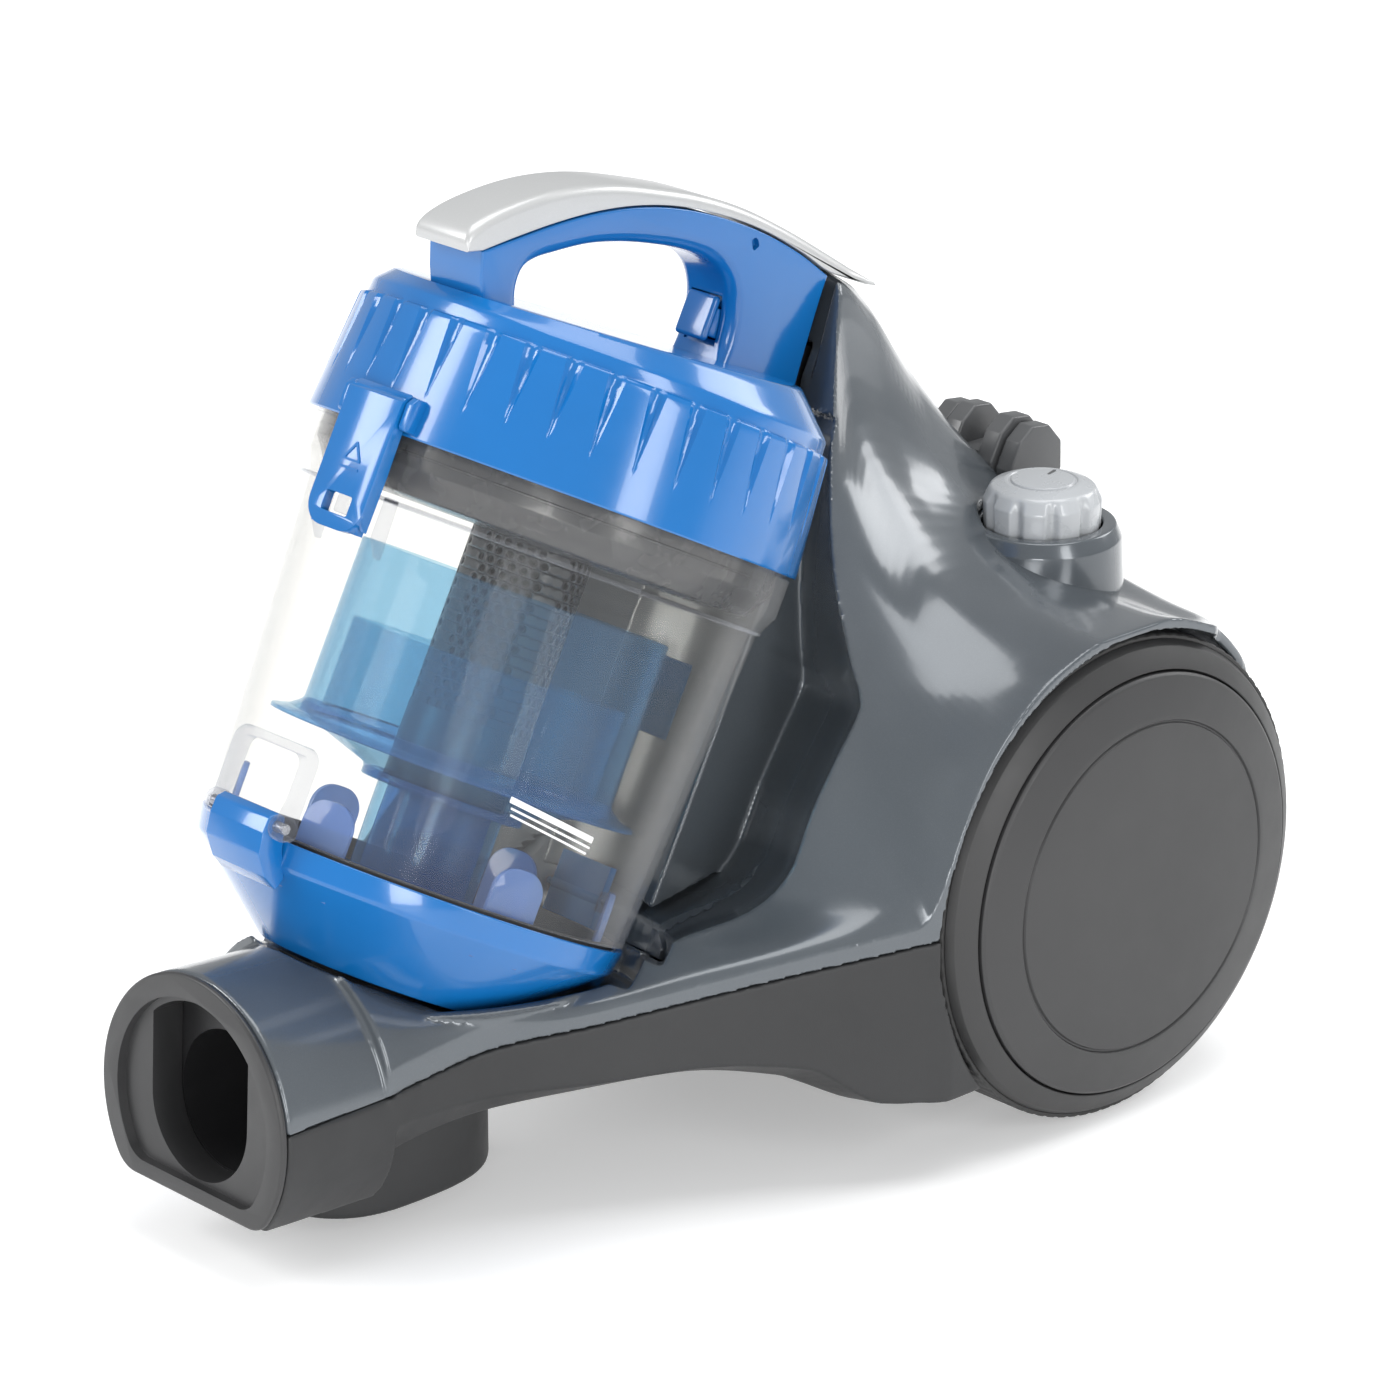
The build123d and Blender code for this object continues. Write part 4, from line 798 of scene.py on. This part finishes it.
# ------------------------------------------------------------------ latch tab
def build_tab():
    face = Matrix(((1, 0, 0, 0), (0, 0, -1, 0), (0, 1, 0, 0), (0, 0, 0, 1)))    # local (x, s, out) -> bin frame, out = -y
    pts = fillet([(-13, 13), (13, 13), (13, -35.5), (-13, -35.5)], [1.0, 1.0, 8.5, 8.5], 8)
    o = prism("tab_face", pts, 86.1, 89.8, "blue", BIN @ face)
    top = prism("t", [(-90.8, 9.0), (-90.8, 14), (-85.0, 14)], -20, 20, at=BIN @ YS_)
    boolean(o, top)
    back = prism("bk", [(-88.4, 3.2), (-85.2, 3.2), (-84.75, 12.6), (-86.4, 12.6), (-88.4, 10.4)], -13, 13, at=BIN @ YS_)
    boolean(o, back, "UNION")
    boolean(o, prism("win", fillet([(-6.3, -24), (6.3, -24), (6.3, -30.6), (-6.3, -30.6)], 0.8), 70, 100, at=BIN @ face))
    modify(o, "BEVEL", width=0.65 * MM, segments=3, limit_method="ANGLE", angle_limit=math.radians(35))
    smooth(o, 40)
    for sx in (1, -1):
        x0, x1 = sorted((sx * 11.6, sx * 13.0))
        boolean(o, prism("wall", [(-88.9, 11.2), (-88.9, -30), (-86.8, -33.4), (-85.2, -33.4), (-84.9, -14), (-85.2, 0), (-85.0, 12.2)], x0, x1, at=BIN @ YS_), "UNION")
    for y0, x in ((0, 9.3), (0, -9.3)):
        boolean(o, block("nose", (x - 1.7, -87.5, -35), (x + 1.7, -84.4, -32.3), at=BIN, bevel=0), "UNION")
    finish(o, "tab", "blue_gloss", "lid_latch")
    # raised outline of a triangle over a bar
    tri = [(0, -6.2), (-4.6, -13.2), (4.6, -13.2)]
    out = fillet(tri, 0.5, 3)
    ins = fillet([(0, -7.9), (-3.1, -12.4), (3.1, -12.4)], 0.2, 3)
    a = prism("tab_mark", out, 89.6, 90.15, "blue", BIN @ face)
    boolean(a, prism("i", ins, 89, 91, at=BIN @ face))
    smooth(a, 30)
    finish(a, "tab", "blue_gloss")
    bar = prism("tab_mark_bar", fillet([(-4.4, -15.0), (4.4, -15.0), (4.4, -15.9), (-4.4, -15.9)], 0.3), 89.6, 90.1, "blue", BIN @ face)
    finish(bar, "tab", "blue_gloss")


build_tab()


# ------------------------------------------------------------------ handle
def ribbon(name, line, radii, half, mat, k=6, crown=None):
    """A closed (y, z) outline as a bar across X with its edges rounded by each point's own radius."""
    p = np.array(line, float)
    n = len(p)
    area = 0.5 * sum(p[i - 1][0] * p[i][1] - p[i][0] * p[i - 1][1] for i in range(n))
    sgn = 1 if area > 0 else -1
    t = np.roll(p, -1, 0) - np.roll(p, 1, 0)
    t /= np.maximum(np.linalg.norm(t, axis=1, keepdims=True), 1e-9)
    nrm = np.stack([-t[:, 1], t[:, 0]], 1) * sgn        # inward
    rr = np.asarray(radii, float)
    verts, rows = [], []
    for side in (-1, 1):
        for j in range(k + 1):
            f = j / k * math.pi / 2 if side == 1 else (k - j) / k * math.pi / 2
            row = []
            for i in range(n):
                x = side * (half - rr[i] * (1 - math.sin(f)))
                q = p[i] + nrm[i] * rr[i] * (1 - math.cos(f))
                z = q[1]
                if crown is not None:
                    z -= crown(q[0], q[1], x)
                row.append(len(verts))
                verts.append((x, q[0], z))
            rows.append(row)
    faces = []
    for a in range(len(rows) - 1):
        for i in range(n):
            j = (i + 1) % n
            faces.append((rows[a][i], rows[a][j], rows[a + 1][j], rows[a + 1][i]))
    faces.append(tuple(rows[0])[::-1])
    faces.append(tuple(rows[-1]))
    return make(name, verts, faces, mat, ID, 34)


TOPLINE = [(-77.6, 321.6), (-62.7, 322.9), (-45.5, 324.2), (-28, 324.4), (-10.4, 322.8), (7.4, 319.0), (26.8, 312.2), (46.4, 302.8), (63.8, 291.8), (76.3, 281.8)]
INNER = [(-61.5, 286), (-61.6, 298), (-61.0, 306.5), (-58.2, 311.6), (-53, 313.4), (-45, 313.8), (-30, 313.6), (-16, 311.5), (-2, 308.0), (12, 303.4), (23, 298.0),
         (29.6, 291.5), (32.2, 284), (31.8, 276), (29.0, 267), (24.0, 255)]


def build_handle():
    top = smooth_line(TOPLINE, 3)
    inn = smooth_line(INNER, 1.6)
    rear = smooth_line([(76.3, 281.8), (70.5, 268.5), (61.8, 247.0), (57.6, 235)], 3)[1:]
    front = [(-74.0, 286.0), (-75.4, 294.0), (-77.6, 303.0), (-78.2, 312.0)]
    line = top + rear + inn[::-1] + front
    rad = [0.7] * len(top) + [1.1] * len(rear) + [5.2] * len(inn) + [1.2] * len(front)
    m = len(top) + len(rear)
    for i in range(8):
        rad[m + i] = 1.2 + 0.5 * i
        rad[m + len(inn) - 1 - i] = 1.2 + 0.5 * i
    r = np.array(rad)
    for _ in range(3):
        r = (np.roll(r, 1) + 2 * r + np.roll(r, -1)) / 4
    o = ribbon("handle_arch", line, r, 13.0, "blue")
    boolean(o, block("ch", (-7.3, 36, 66), (7.3, 90, 77), at=BIN, bevel=0))
    boolean(o, block("ch2", (-7.4, 28, 64), (7.4, 41.6, 80.5), at=BIN, bevel=0))
    slotp = [(41.4, 297.4), (44.2, 298.6), (43.7, 301.0), (42.6, 302.2), (40.6, 301.4)]
    boolean(o, prism("key", fillet(slotp, 0.8), 10.8, 16, at=YS_))
    smooth(o, 34)
    finish(o, "lid", "blue_gloss", "handle_frame")
    crest = [(-83.6, 322.6), (-84.0, 326.2), (-81.6, 329.4), (-75, 331.9), (-63, 334.0), (-47, 335.0), (-31, 334.0), (-16, 331.4), (1.5, 326.6), (19.5, 320.8), (39, 312.4), (59, 301), (79, 288.0), (98.4, 274.9)]
    crest_l = smooth_line(crest, 2.4)
    low = [(99.0, 273.7), (94, 275.2), (88, 278.3), (77.0, 283.0), (64.2, 292.4), (46.7, 303.5), (27.0, 312.9), (7.5, 319.7), (-10.4, 323.5), (-28, 325.1), (-45.5, 324.9), (-62.7, 323.6), (-77.5, 322.0)]
    low_l = smooth_line(low, 2.4)
    line = crest_l + low_l
    rad = [3.4] * len(crest_l) + [0.35] * len(low_l)
    for i in range(5):
        rad[len(crest_l) - 1 - i] = 0.7 + 0.5 * i
        rad[i] = 0.9 + 0.55 * i
    c = ribbon("handle_top_cover", line, rad, 13.0, "silver")
    finish(c, "lid", "silver_cover", "handle_cover")


build_handle()


pad = block("trigger_pad", (-7, 34.4, 64.5), (7, 37.6, 80.0), "blue", BIN, bevel=1.4, seg=4)
bar_ = block("trigger_bar", (-6.9, 37.0, 66.6), (6.9, 80.5, 76.4), "blue", BIN, bevel=0.6)
finish(pad, "trigger", "blue_gloss", "release_trigger")
finish(bar_, "trigger", "blue_gloss")


# ------------------------------------------------------------------ dust bin
def cone_r(s):
    return 79.2 - 6.0 * (-23 - s) / 110.5 if s < -23 else 79.2


def build_bin():
    prof = fillet([(79.8, 14), (81.7, 14), (81.7, -0.9), (83.5, -0.9), (83.5, -14.6), (79.2, -22.5), (73.2, -133.4), (70.9, -133.4), (76.8, -23), (79.8, -13)],
                  [0.3, 0.4, 0.1, 0.8, 2.2, 3.0, 0.4, 0.4, 3.0, 2.0], 4)
    o = lathe("bin_shell", prof, "clear", BIN, n=224, angle=40)
    finish(o, "bin", "clear_shell", "dust_bin")
    rib = fillet([(79.6, -20.4), (80.6, -20.6), (80.6, -21.6), (79.2, -22.0)], 0.3, 3)
    finish(lathe("bin_shell_rib", rib, "clear_edge", BIN, n=224, angle=40), "bin", "clear_shell")
    # clear hinge loop at the front
    face = Matrix(((1, 0, 0, 0), (0, 0, -1, 0), (0, 1, 0, 0), (0, 0, 0, 1)))
    outer = fillet([(-18.3, -128), (-18.3, -103.6), (18.3, -103.6), (18.3, -128), (20.2, -131), (18.3, -134.2), (14.0, -134.2), (14.0, -126), (15.0, -121), (15.0, -106.7),
                    (-15.0, -106.7), (-15.0, -121), (-14.0, -126), (-14.0, -134.2), (-18.3, -134.2), (-20.2, -131)],
                   [2, 5.5, 5.5, 2, 2, 2, 1, 2, 2, 4, 4, 2, 2, 1, 2, 2], 6)
    loop = prism("hinge_loop", outer, 74.6, 80.9, "clear_edge", BIN @ face, bevel=0.9, seg=3)
    finish(loop, "bin", "clear_shell")
    for sx in (1, -1):
        x0, x1 = sorted((sx * 14.0, sx * 18.4))
        e = lathe("hinge_eye_" + ("right" if sx > 0 else "left"), fillet([(1.75, x0), (4.3, x0), (4.3, x1), (1.75, x1)], 0.5, 3), "clear_edge",
                  BIN @ Matrix.Translation((0, -79.0, -130.5)) @ Matrix(((0, 0, 1, 0), (1, 0, 0, 0), (0, 1, 0, 0), (0, 0, 0, 1))), n=48)
        finish(e, "bin", "clear_shell")
    lug = block("tab_lug", (-4.5, -86.3, -30), (4.5, -78.4, -23.5), "clear_edge", BIN, bevel=0.7)
    finish(lug, "bin", "clear_shell")
    for sx in (1, -1):
        x0, x1 = sorted((sx * 13.8, sx * 15.6))
        g = prism("tab_guide_" + ("right" if sx > 0 else "left"), fillet([(-84.0, -20), (-78.6, -20), (-77.6, -40), (-79.6, -40), (-84.0, -34)], [0.8, 0, 0, 0.8, 1.5]), x0, x1, "clear_edge", BIN @ YS_, bevel=0.5)
        finish(g, "bin", "clear_shell")
    for sx in (1, -1):
        x0, x1 = sorted((sx * 12.6, sx * 15.4))
        g = prism("lever_ear_" + ("right" if sx > 0 else "left"), fillet([(73.6, -127.5), (80.4, -127.5), (80.4, -120.5), (74.0, -120.5)], [0, 2, 2, 0]), x0, x1, "clear_edge", BIN @ YS_, bevel=0.4)
        finish(g, "bin", "clear_shell")
    # printed fill bars on the outside
    def strip(name, a0, a1, s0, s1):
        n = 28
        verts, faces = [], []
        for i in range(n + 1):
            a = math.radians(a0 + (a1 - a0) * i / n)
            sh = -4.2 * (i / n)
            for dr in (0.04, 0.16):
                for s in (s0, s1):
                    ss = s + sh
                    r = cone_r(ss) + dr
                    verts.append((r * math.cos(a), r * math.sin(a), ss))
        for i in range(n):
            q, w = 4 * i, 4 * (i + 1)
            faces += [(q, w, w + 1, q + 1), (q + 2, q + 3, w + 3, w + 2), (q, q + 2, w + 2, w), (q + 1, w + 1, w + 3, q + 3)]
        faces += [(0, 1, 3, 2), (4 * n, 4 * n + 2, 4 * n + 3, 4 * n + 1)]
        finish(make(name, verts, faces, "white", BIN, 60), "bin", "clear_shell")
    strip("fill_bar_top", 331.0, 356.9, -95.9, -97.9)
    strip("fill_bar_middle", 331.9, 356.9, -99.2, -99.9)
    strip("fill_bar_low", 332.4, 356.4, -101.3, -102.0)


build_bin()


def build_door():
    prof = fillet([(17.4, -169.5), (41, -169.5), (72.3, -143), (73.6, -134.5), (71.4, -134.5), (69.8, -142.6), (40.2, -167.1), (20.2, -167.1), (20.2, -160), (17.4, -160)],
                  [0.6, 2.2, 3.2, 0.5, 0.3, 2.0, 2.0, 0.6, 0.4, 0.4], 5)
    o = lathe("door_cup", prof, "blue", BIN, n=224, angle=40)
    hood = prism("hood", fillet([(-75.0, -131.0), (-76.6, -127.0), (-80.0, -126.3), (-83.1, -128.6), (-83.4, -134), (-82.0, -141.0), (-76, -147.5), (-69.5, -150.5), (-68, -146), (-72.6, -138)],
                                [1, 1.5, 2, 2, 2, 2, 2, 1, 0.5, 0.5], 4), -13.5, 13.5, at=BIN @ YS_, bevel=0.9, seg=3)
    boolean(hood, lathe("in", [(0, -150), (71.0, -142.5), (71.5, -120), (0, -120)], at=BIN, n=128))
    boolean(hood, lathe("pinh", [(0, -20), (1.75, -20), (1.75, 20), (0, 20)], at=BIN @ Matrix.Translation((0, -79.0, -130.5)) @ YS_, n=32))
    smooth(hood, 40)
    hood.name = "door_hinge_hood"
    hood.data.materials.clear()
    hood.data.materials.append(M["blue"])
    finish(hood, "door", "blue_gloss")
    finish(o, "door", "blue_gloss", "bin_door")
    for i, a in enumerate((286.0, 346.0, 46.0, 106.0, 166.0, 226.0)):
        fin = Matrix.Rotation(math.radians(a), 4, "Z") @ Matrix.Translation((64.0, 0, 0)) @ Matrix(((0, 0, 1, 0), (1, 0, 0, 0), (0, 1, 0, 0), (0, 0, 0, 1)))
        pts = fillet([(-9.5, -149), (9.5, -149), (9.5, -117.5), (-9.5, -117.5)], [0, 0, 8, 8], 8)
        f = prism("door_fin_%d" % i, pts, -1.1, 1.1, "fin_blue", BIN @ fin, bevel=0.5, seg=2)
        finish(f, "door", "blue_gloss")


build_door()


# ------------------------------------------------------------------ separator
def build_separator():
    finish(sheet("shroud_wall", fillet([(52.4, -34.8), (53.6, -34.8), (53.8, -91.5), (58.0, -94.6), (63.4, -96.0), (63.4, -97.2), (60, -97.0)], [0, 0.5, 3, 3, 0.4, 0.3, 0], 4),
                 "blue_clear", BIN, 192), "bin", "blue_clear", "cyclone_shroud")
    finish(sheet("shroud_inner_wall", [(47.6, -60.5), (47.6, -92.0)], "blue_clear", BIN), "bin", "blue_clear")
    finish(sheet("shroud_rim", fillet([(63.4, -97.2), (54, -96.0), (53.8, -91.5)], [0, 2, 0], 4), "blue_clear2", BIN, 192), "bin", "blue_clear")
    finish(sheet("shroud_cone", fillet([(52.0, -95.0), (51.0, -96.6), (28.0, -104.6), (28.0, -108.0), (22.0, -108.0)], [0, 1, 2, 0.4, 0], 4), "blue_clear", BIN), "bin", "blue_clear")
    collar = fillet([(22.2, -105.0), (27.6, -105.0), (27.6, -107.8), (22.2, -107.8)], 0.5, 3)
    finish(lathe("shroud_ring", collar, "blue_clear2", BIN, n=128, angle=40), "bin", "blue_clear")
    finish(sheet("shroud_foot_tube", [(21.8, -107.8), (21.0, -150.0)], "blue_clear", BIN), "bin", "blue_clear")
    finish(sheet("rising_tube", [(18.2, -104), (18.2, -150)], "blue_clear2", BIN), "bin", "blue_clear", "intake_tube")
    # perforated screen
    nn, rows, h, r0 = 32, 17, 3.6, 20.8
    top = -18.6
    verts, faces = [], []
    k = 12
    for row in range(rows):
        for c in range(nn):
            cw = 2 * math.pi / nn
            ca = (c + (0.5 if row % 2 else 0.0)) * cw
            cs = top - h * (row + 0.5)
            solid = (c % 8) in (6, 7)
            ring, hole = [], []
            for j in range(k):
                t = 2 * math.pi * j / k + math.pi / k
                dx, dy = math.cos(t), math.sin(t)
                m = 1 / max(abs(dx), abs(dy))
                for lst, q in ((ring, m), (hole, 0.0)):
                    if lst is ring:
                        aa, ss = ca + dx * m * cw / 2, cs + dy * m * h / 2
                    else:
                        aa, ss = ca + dx * 0.66 * cw / 2, cs + dy * 0.66 * h / 2 * 1.0
                    lst.append((r0 * math.cos(aa), r0 * math.sin(aa), ss))
            b = len(verts)
            verts += ring + hole
            for j in range(k):
                w = (j + 1) % k
                faces.append((b + j, b + w, b + k + w, b + k + j))
            if solid:
                faces.append(tuple(b + k + j for j in range(k)))
    me = make("screen", verts, faces, "mesh", BIN, 60)
    modify(me, "SOLIDIFY", thickness=0.9 * MM, offset=-1.0)
    me.name = "screen_panel"
    finish(me, "bin", "mesh_dark", "mesh_screen")
    lowcan = fillet([(19.9, -79.2), (21.0, -79.2), (21.0, -107.0), (19.9, -107.0)], 0.3, 3)
    finish(lathe("screen_skirt", lowcan, "mesh", BIN, n=128, angle=40), "bin", "mesh_dark")
    # painted shade: a near-black sheet behind the screen's holes stands in for the shade of its hollow inside
    finish(sheet("painted_shade_core", [(19.0, -18.8), (19.0, -104)], "shade_core", BIN, 96), "bin", "mesh_dark")
    hat = fillet([(20.6, -18.6), (60, -18.6), (73.6, -17.2), (76.4, -12.6), (79.2, -8.6), (79.2, 11), (77.2, 11), (77.2, -6.6), (72, -14.4), (60, -16.6), (20.6, -16.6)], [0.3, 3, 2, 2, 2, 0.6, 0.4, 2, 2, 2, 0.4], 4)
    finish(lathe("filter_tray", hat, "filter", BIN, n=192, angle=40), "bin", "filter_grey", "filter_frame")
    for i, s in enumerate((-4.4, 4.0)):
        rb = fillet([(79.0, s - 0.55), (79.6, s - 0.3), (79.6, s + 0.3), (79.0, s + 0.55)], 0.15, 2)
        finish(lathe("tray_rib_%d" % i, rb, "filter", BIN, n=192, angle=40), "bin", "filter_grey")
    # pale tangential inlet port on the back of the shell
    n = 16
    verts, faces = [], []
    for i in range(n + 1):
        a = math.radians(76.5 + (92.0 - 76.5) * i / n)
        for r in (74.2, 75.4):
            for s in (-38.5, -65.3):
                verts.append((r * math.cos(a), r * math.sin(a), s))
    for i in range(n):
        q, w = 4 * i, 4 * (i + 1)
        faces += [(q, w, w + 1, q + 1), (q + 2, q + 3, w + 3, w + 2), (q, q + 2, w + 2, w), (q + 1, w + 1, w + 3, q + 3)]
    faces += [(0, 1, 3, 2), (4 * n, 4 * n + 2, 4 * n + 3, 4 * n + 1)]
    finish(make("port_plate", verts, faces, "blue_clear", BIN, 40), "bin", "blue_clear")


build_separator()


# ------------------------------------------------------------------ controls
def build_controls():
    kz = 190.0

    def scallop(a, r, z):
        if r < 15 or z > kz + 13.9:
            return (r, z)
        g = max(0.0, math.cos(10 * a)) ** 2.2
        w = min(1.0, max(0.0, (kz + 13.6 - z) / 5.0))
        return (r - 1.9 * g * w, z)

    prof = fillet([(0, kz - 7.9), (6.1, kz - 7.9), (6.1, kz - 2), (20.2, kz - 2), (20.5, kz + 8.8), (18.2, kz + 13.4), (13.2, kz + 15.2), (12.2, kz + 15.3), (11.8, kz + 14.9),
                   (11.3, kz + 14.9), (10.9, kz + 15.6), (0, kz + 16.1)], [0, 0.4, 0.4, 1.0, 2.4, 3.0, 0.6, 0.15, 0.15, 0.15, 0.5, 0], 5)
    dense = []
    for i in range(len(prof) - 1):
        a, b = prof[i], prof[i + 1]
        m = max(1, int(math.hypot(a[0] - b[0], a[1] - b[1]) / 1.6)) if a[0] > 15 else 1
        dense += [(a[0] + (b[0] - a[0]) * j / m, a[1] + (b[1] - a[1]) * j / m) for j in range(m)]
    dense.append(prof[-1])
    o = lathe("knob_cap", dense, "knob", Matrix.Translation((55, 139, 0)), n=360, angle=36, shape=scallop)
    boolean(o, lathe("kb", [(0, kz - 9), (3.0, kz - 9), (3.0, kz + 3), (0, kz + 3)], at=Matrix.Translation((55, 139, 0)), n=48))
    smooth(o, 36)
    finish(o, "knob", "light_grey", "power_knob")
    mark = prism("knob_mark", fillet([(-0.55, 4.2), (0.55, 4.2), (0.55, 9.6), (-0.55, 9.6)], 0.4), kz + 15.3, kz + 15.95, "hook",
                 Matrix.Translation((55, 139, 0)) @ Matrix.Rotation(math.radians(18), 4, "Z"))
    finish(mark, "knob", "light_grey")
    for side, sx in (("right", 1), ("left", -1)):
        at = Matrix.Translation((sx * 55, 139, 0))
        ring = fillet([(20.95, kz - 21.5), (22.1, kz - 21.5), (22.1, kz - 12), (26.5, kz - 22), (28.6, kz - 22), (27.6, kz - 4.2), (25.4, kz + 0.6), (20.95, kz + 0.6)],
                      [0, 0, 0, 0, 0, 2.0, 1.1, 0.8], 4)
        b = lathe("control_ring_" + side, ring, "grey", at, n=160, angle=36)
        floor_ = lathe("fl", [(3.6 if sx > 0 else 0.0, kz - 21.9), (22.0, kz - 21.9), (22.0, kz - 19.8), (3.6 if sx > 0 else 0.0, kz - 19.8)], at=at, n=96)
        boolean(b, floor_, "UNION")
        b.data.materials.clear()
        b.data.materials.append(M["grey"])
        smooth(b, 36)
        finish(b, "chassis", "grey_gloss", "control_bezel_" + side)
    btn = fillet([(0, kz - 12.4), (5.5, kz - 12.4), (5.5, kz - 5), (20.2, kz - 5), (20.35, kz + 4.3), (18.3, kz + 7.2), (14.2, kz + 8.1), (13.4, kz + 7.5), (0, kz + 8.0)], [0, 0.3, 0.3, 0.6, 2.2, 2.5, 0.5, 0.6, 0], 4)
    bb = lathe("rewind_cap", btn, "knob", Matrix.Translation((-55, 139, 0)), n=160, angle=36)
    boolean(bb, lathe("kb", [(0, kz - 13), (3.4, kz - 13), (3.4, kz - 1), (0, kz - 1)], at=Matrix.Translation((-55, 139, 0)), n=48))
    smooth(bb, 36)
    finish(bb, "rewind", "light_grey", "rewind_button")


build_controls()


# ------------------------------------------------------------------ tool park hook
def build_hook():
    lobe = fillet([(157.5, 187), (156.5, 197), (161.5, 206.5), (168, 211.2), (176, 210.2), (182.4, 203), (182.6, 193), (178.5, 184), (160, 180)], [1, 2, 2, 2, 2, 2, 2, 2, 1], 4)
    o = None
    for x0, x1 in ((5.5, 13.2), (14.6, 22), (-13.2, -5.5), (-22, -14.6)):
        z = 0 if abs(x0) < 14 and abs(x1) < 14 else 1
        pts = [(y + (0.8 if z else 0), q - (1.6 if z else 0)) for y, q in lobe]
        p = prism("lobe", pts, x0, x1, at=YS_, bevel=0.9, seg=3)
        if o is None:
            o = p
        else:
            boolean(o, p, "UNION")
    bar = block("bar", (-22, 160.5, 184), (22, 177, 198.3), bevel=0.8)
    boolean(o, bar, "UNION")
    o.name = "park_bracket"
    o.data.materials.clear()
    o.data.materials.append(M["hook"])
    smooth(o, 36)
    finish(o, "chassis", "black_matte", "tool_park_hook")


build_hook()

# ------------------------------------------------------------------ stage, light, camera
bpy.ops.mesh.primitive_plane_add(size=9, location=(0, 0, -0.0004))
floor = bpy.context.object
floor.name = "stage_floor"
fm = bpy.data.materials.new("stage_white")
fm.use_nodes = True
fb = fm.node_tree.nodes["Principled BSDF"]
fb.inputs["Base Color"].default_value = (0.86, 0.86, 0.86, 1)
fb.inputs["Roughness"].default_value = 0.7
fb.inputs["Emission Color"].default_value = (1, 1, 1, 1)
fb.inputs["Emission Strength"].default_value = 0.30
floor.data.materials.append(fm)

world = bpy.data.worlds.new("studio")
bpy.context.scene.world = world
world.use_nodes = True
bg = world.node_tree.nodes["Background"]
bg.inputs["Color"].default_value = (0.97, 0.985, 1.0, 1)
bg.inputs["Strength"].default_value = 0.52


def area(name, loc, target, size, power, size_y=None, col=(1, 1, 1)):
    d = bpy.data.lights.new(name, "AREA")
    d.shape = "RECTANGLE"
    d.size = size
    d.size_y = size_y or size
    d.energy = power
    d.color = col
    o = bpy.data.objects.new(name, d)
    bpy.context.scene.collection.objects.link(o)
    o.location = loc
    o.rotation_euler = (Vector(target) - Vector(loc)).to_track_quat("-Z", "Y").to_euler()
    return o


area("key_left", (-1.3, -2.0, 1.7), (0, 0, 0.12), 1.1, 44, 1.4)
area("side_right", (2.3, -0.2, 0.9), (0, 0.02, 0.14), 0.55, 19, 1.5)
area("front_fill", (1.7, -1.9, 0.55), (0.05, 0.02, 0.12), 0.7, 19, 0.9)
area("top_soft", (0.2, 0.3, 2.2), (0, 0, 0.15), 1.5, 26)
area("back_rim", (0.5, 1.9, 1.2), (0, 0, 0.18), 1.0, 16)

cam = bpy.data.cameras.new("camera")
cam.sensor_width = 36.0
cam.lens = 154.286
cam.clip_end = 50
co = bpy.data.objects.new("camera", cam)
bpy.context.scene.collection.objects.link(co)
az, el, dist = math.radians(46.84), math.radians(20.91), 2.05
tgt = Vector((0.0, 0.0293, 0.1376))
co.location = tgt + dist * Vector((math.sin(az) * math.cos(el), -math.cos(az) * math.cos(el), math.sin(el)))
co.rotation_euler = (tgt - co.location).to_track_quat("-Z", "Y").to_euler()
bpy.context.scene.camera = co
bpy.context.scene.view_settings.view_transform = "Standard"

bpy.context.view_layer.update()
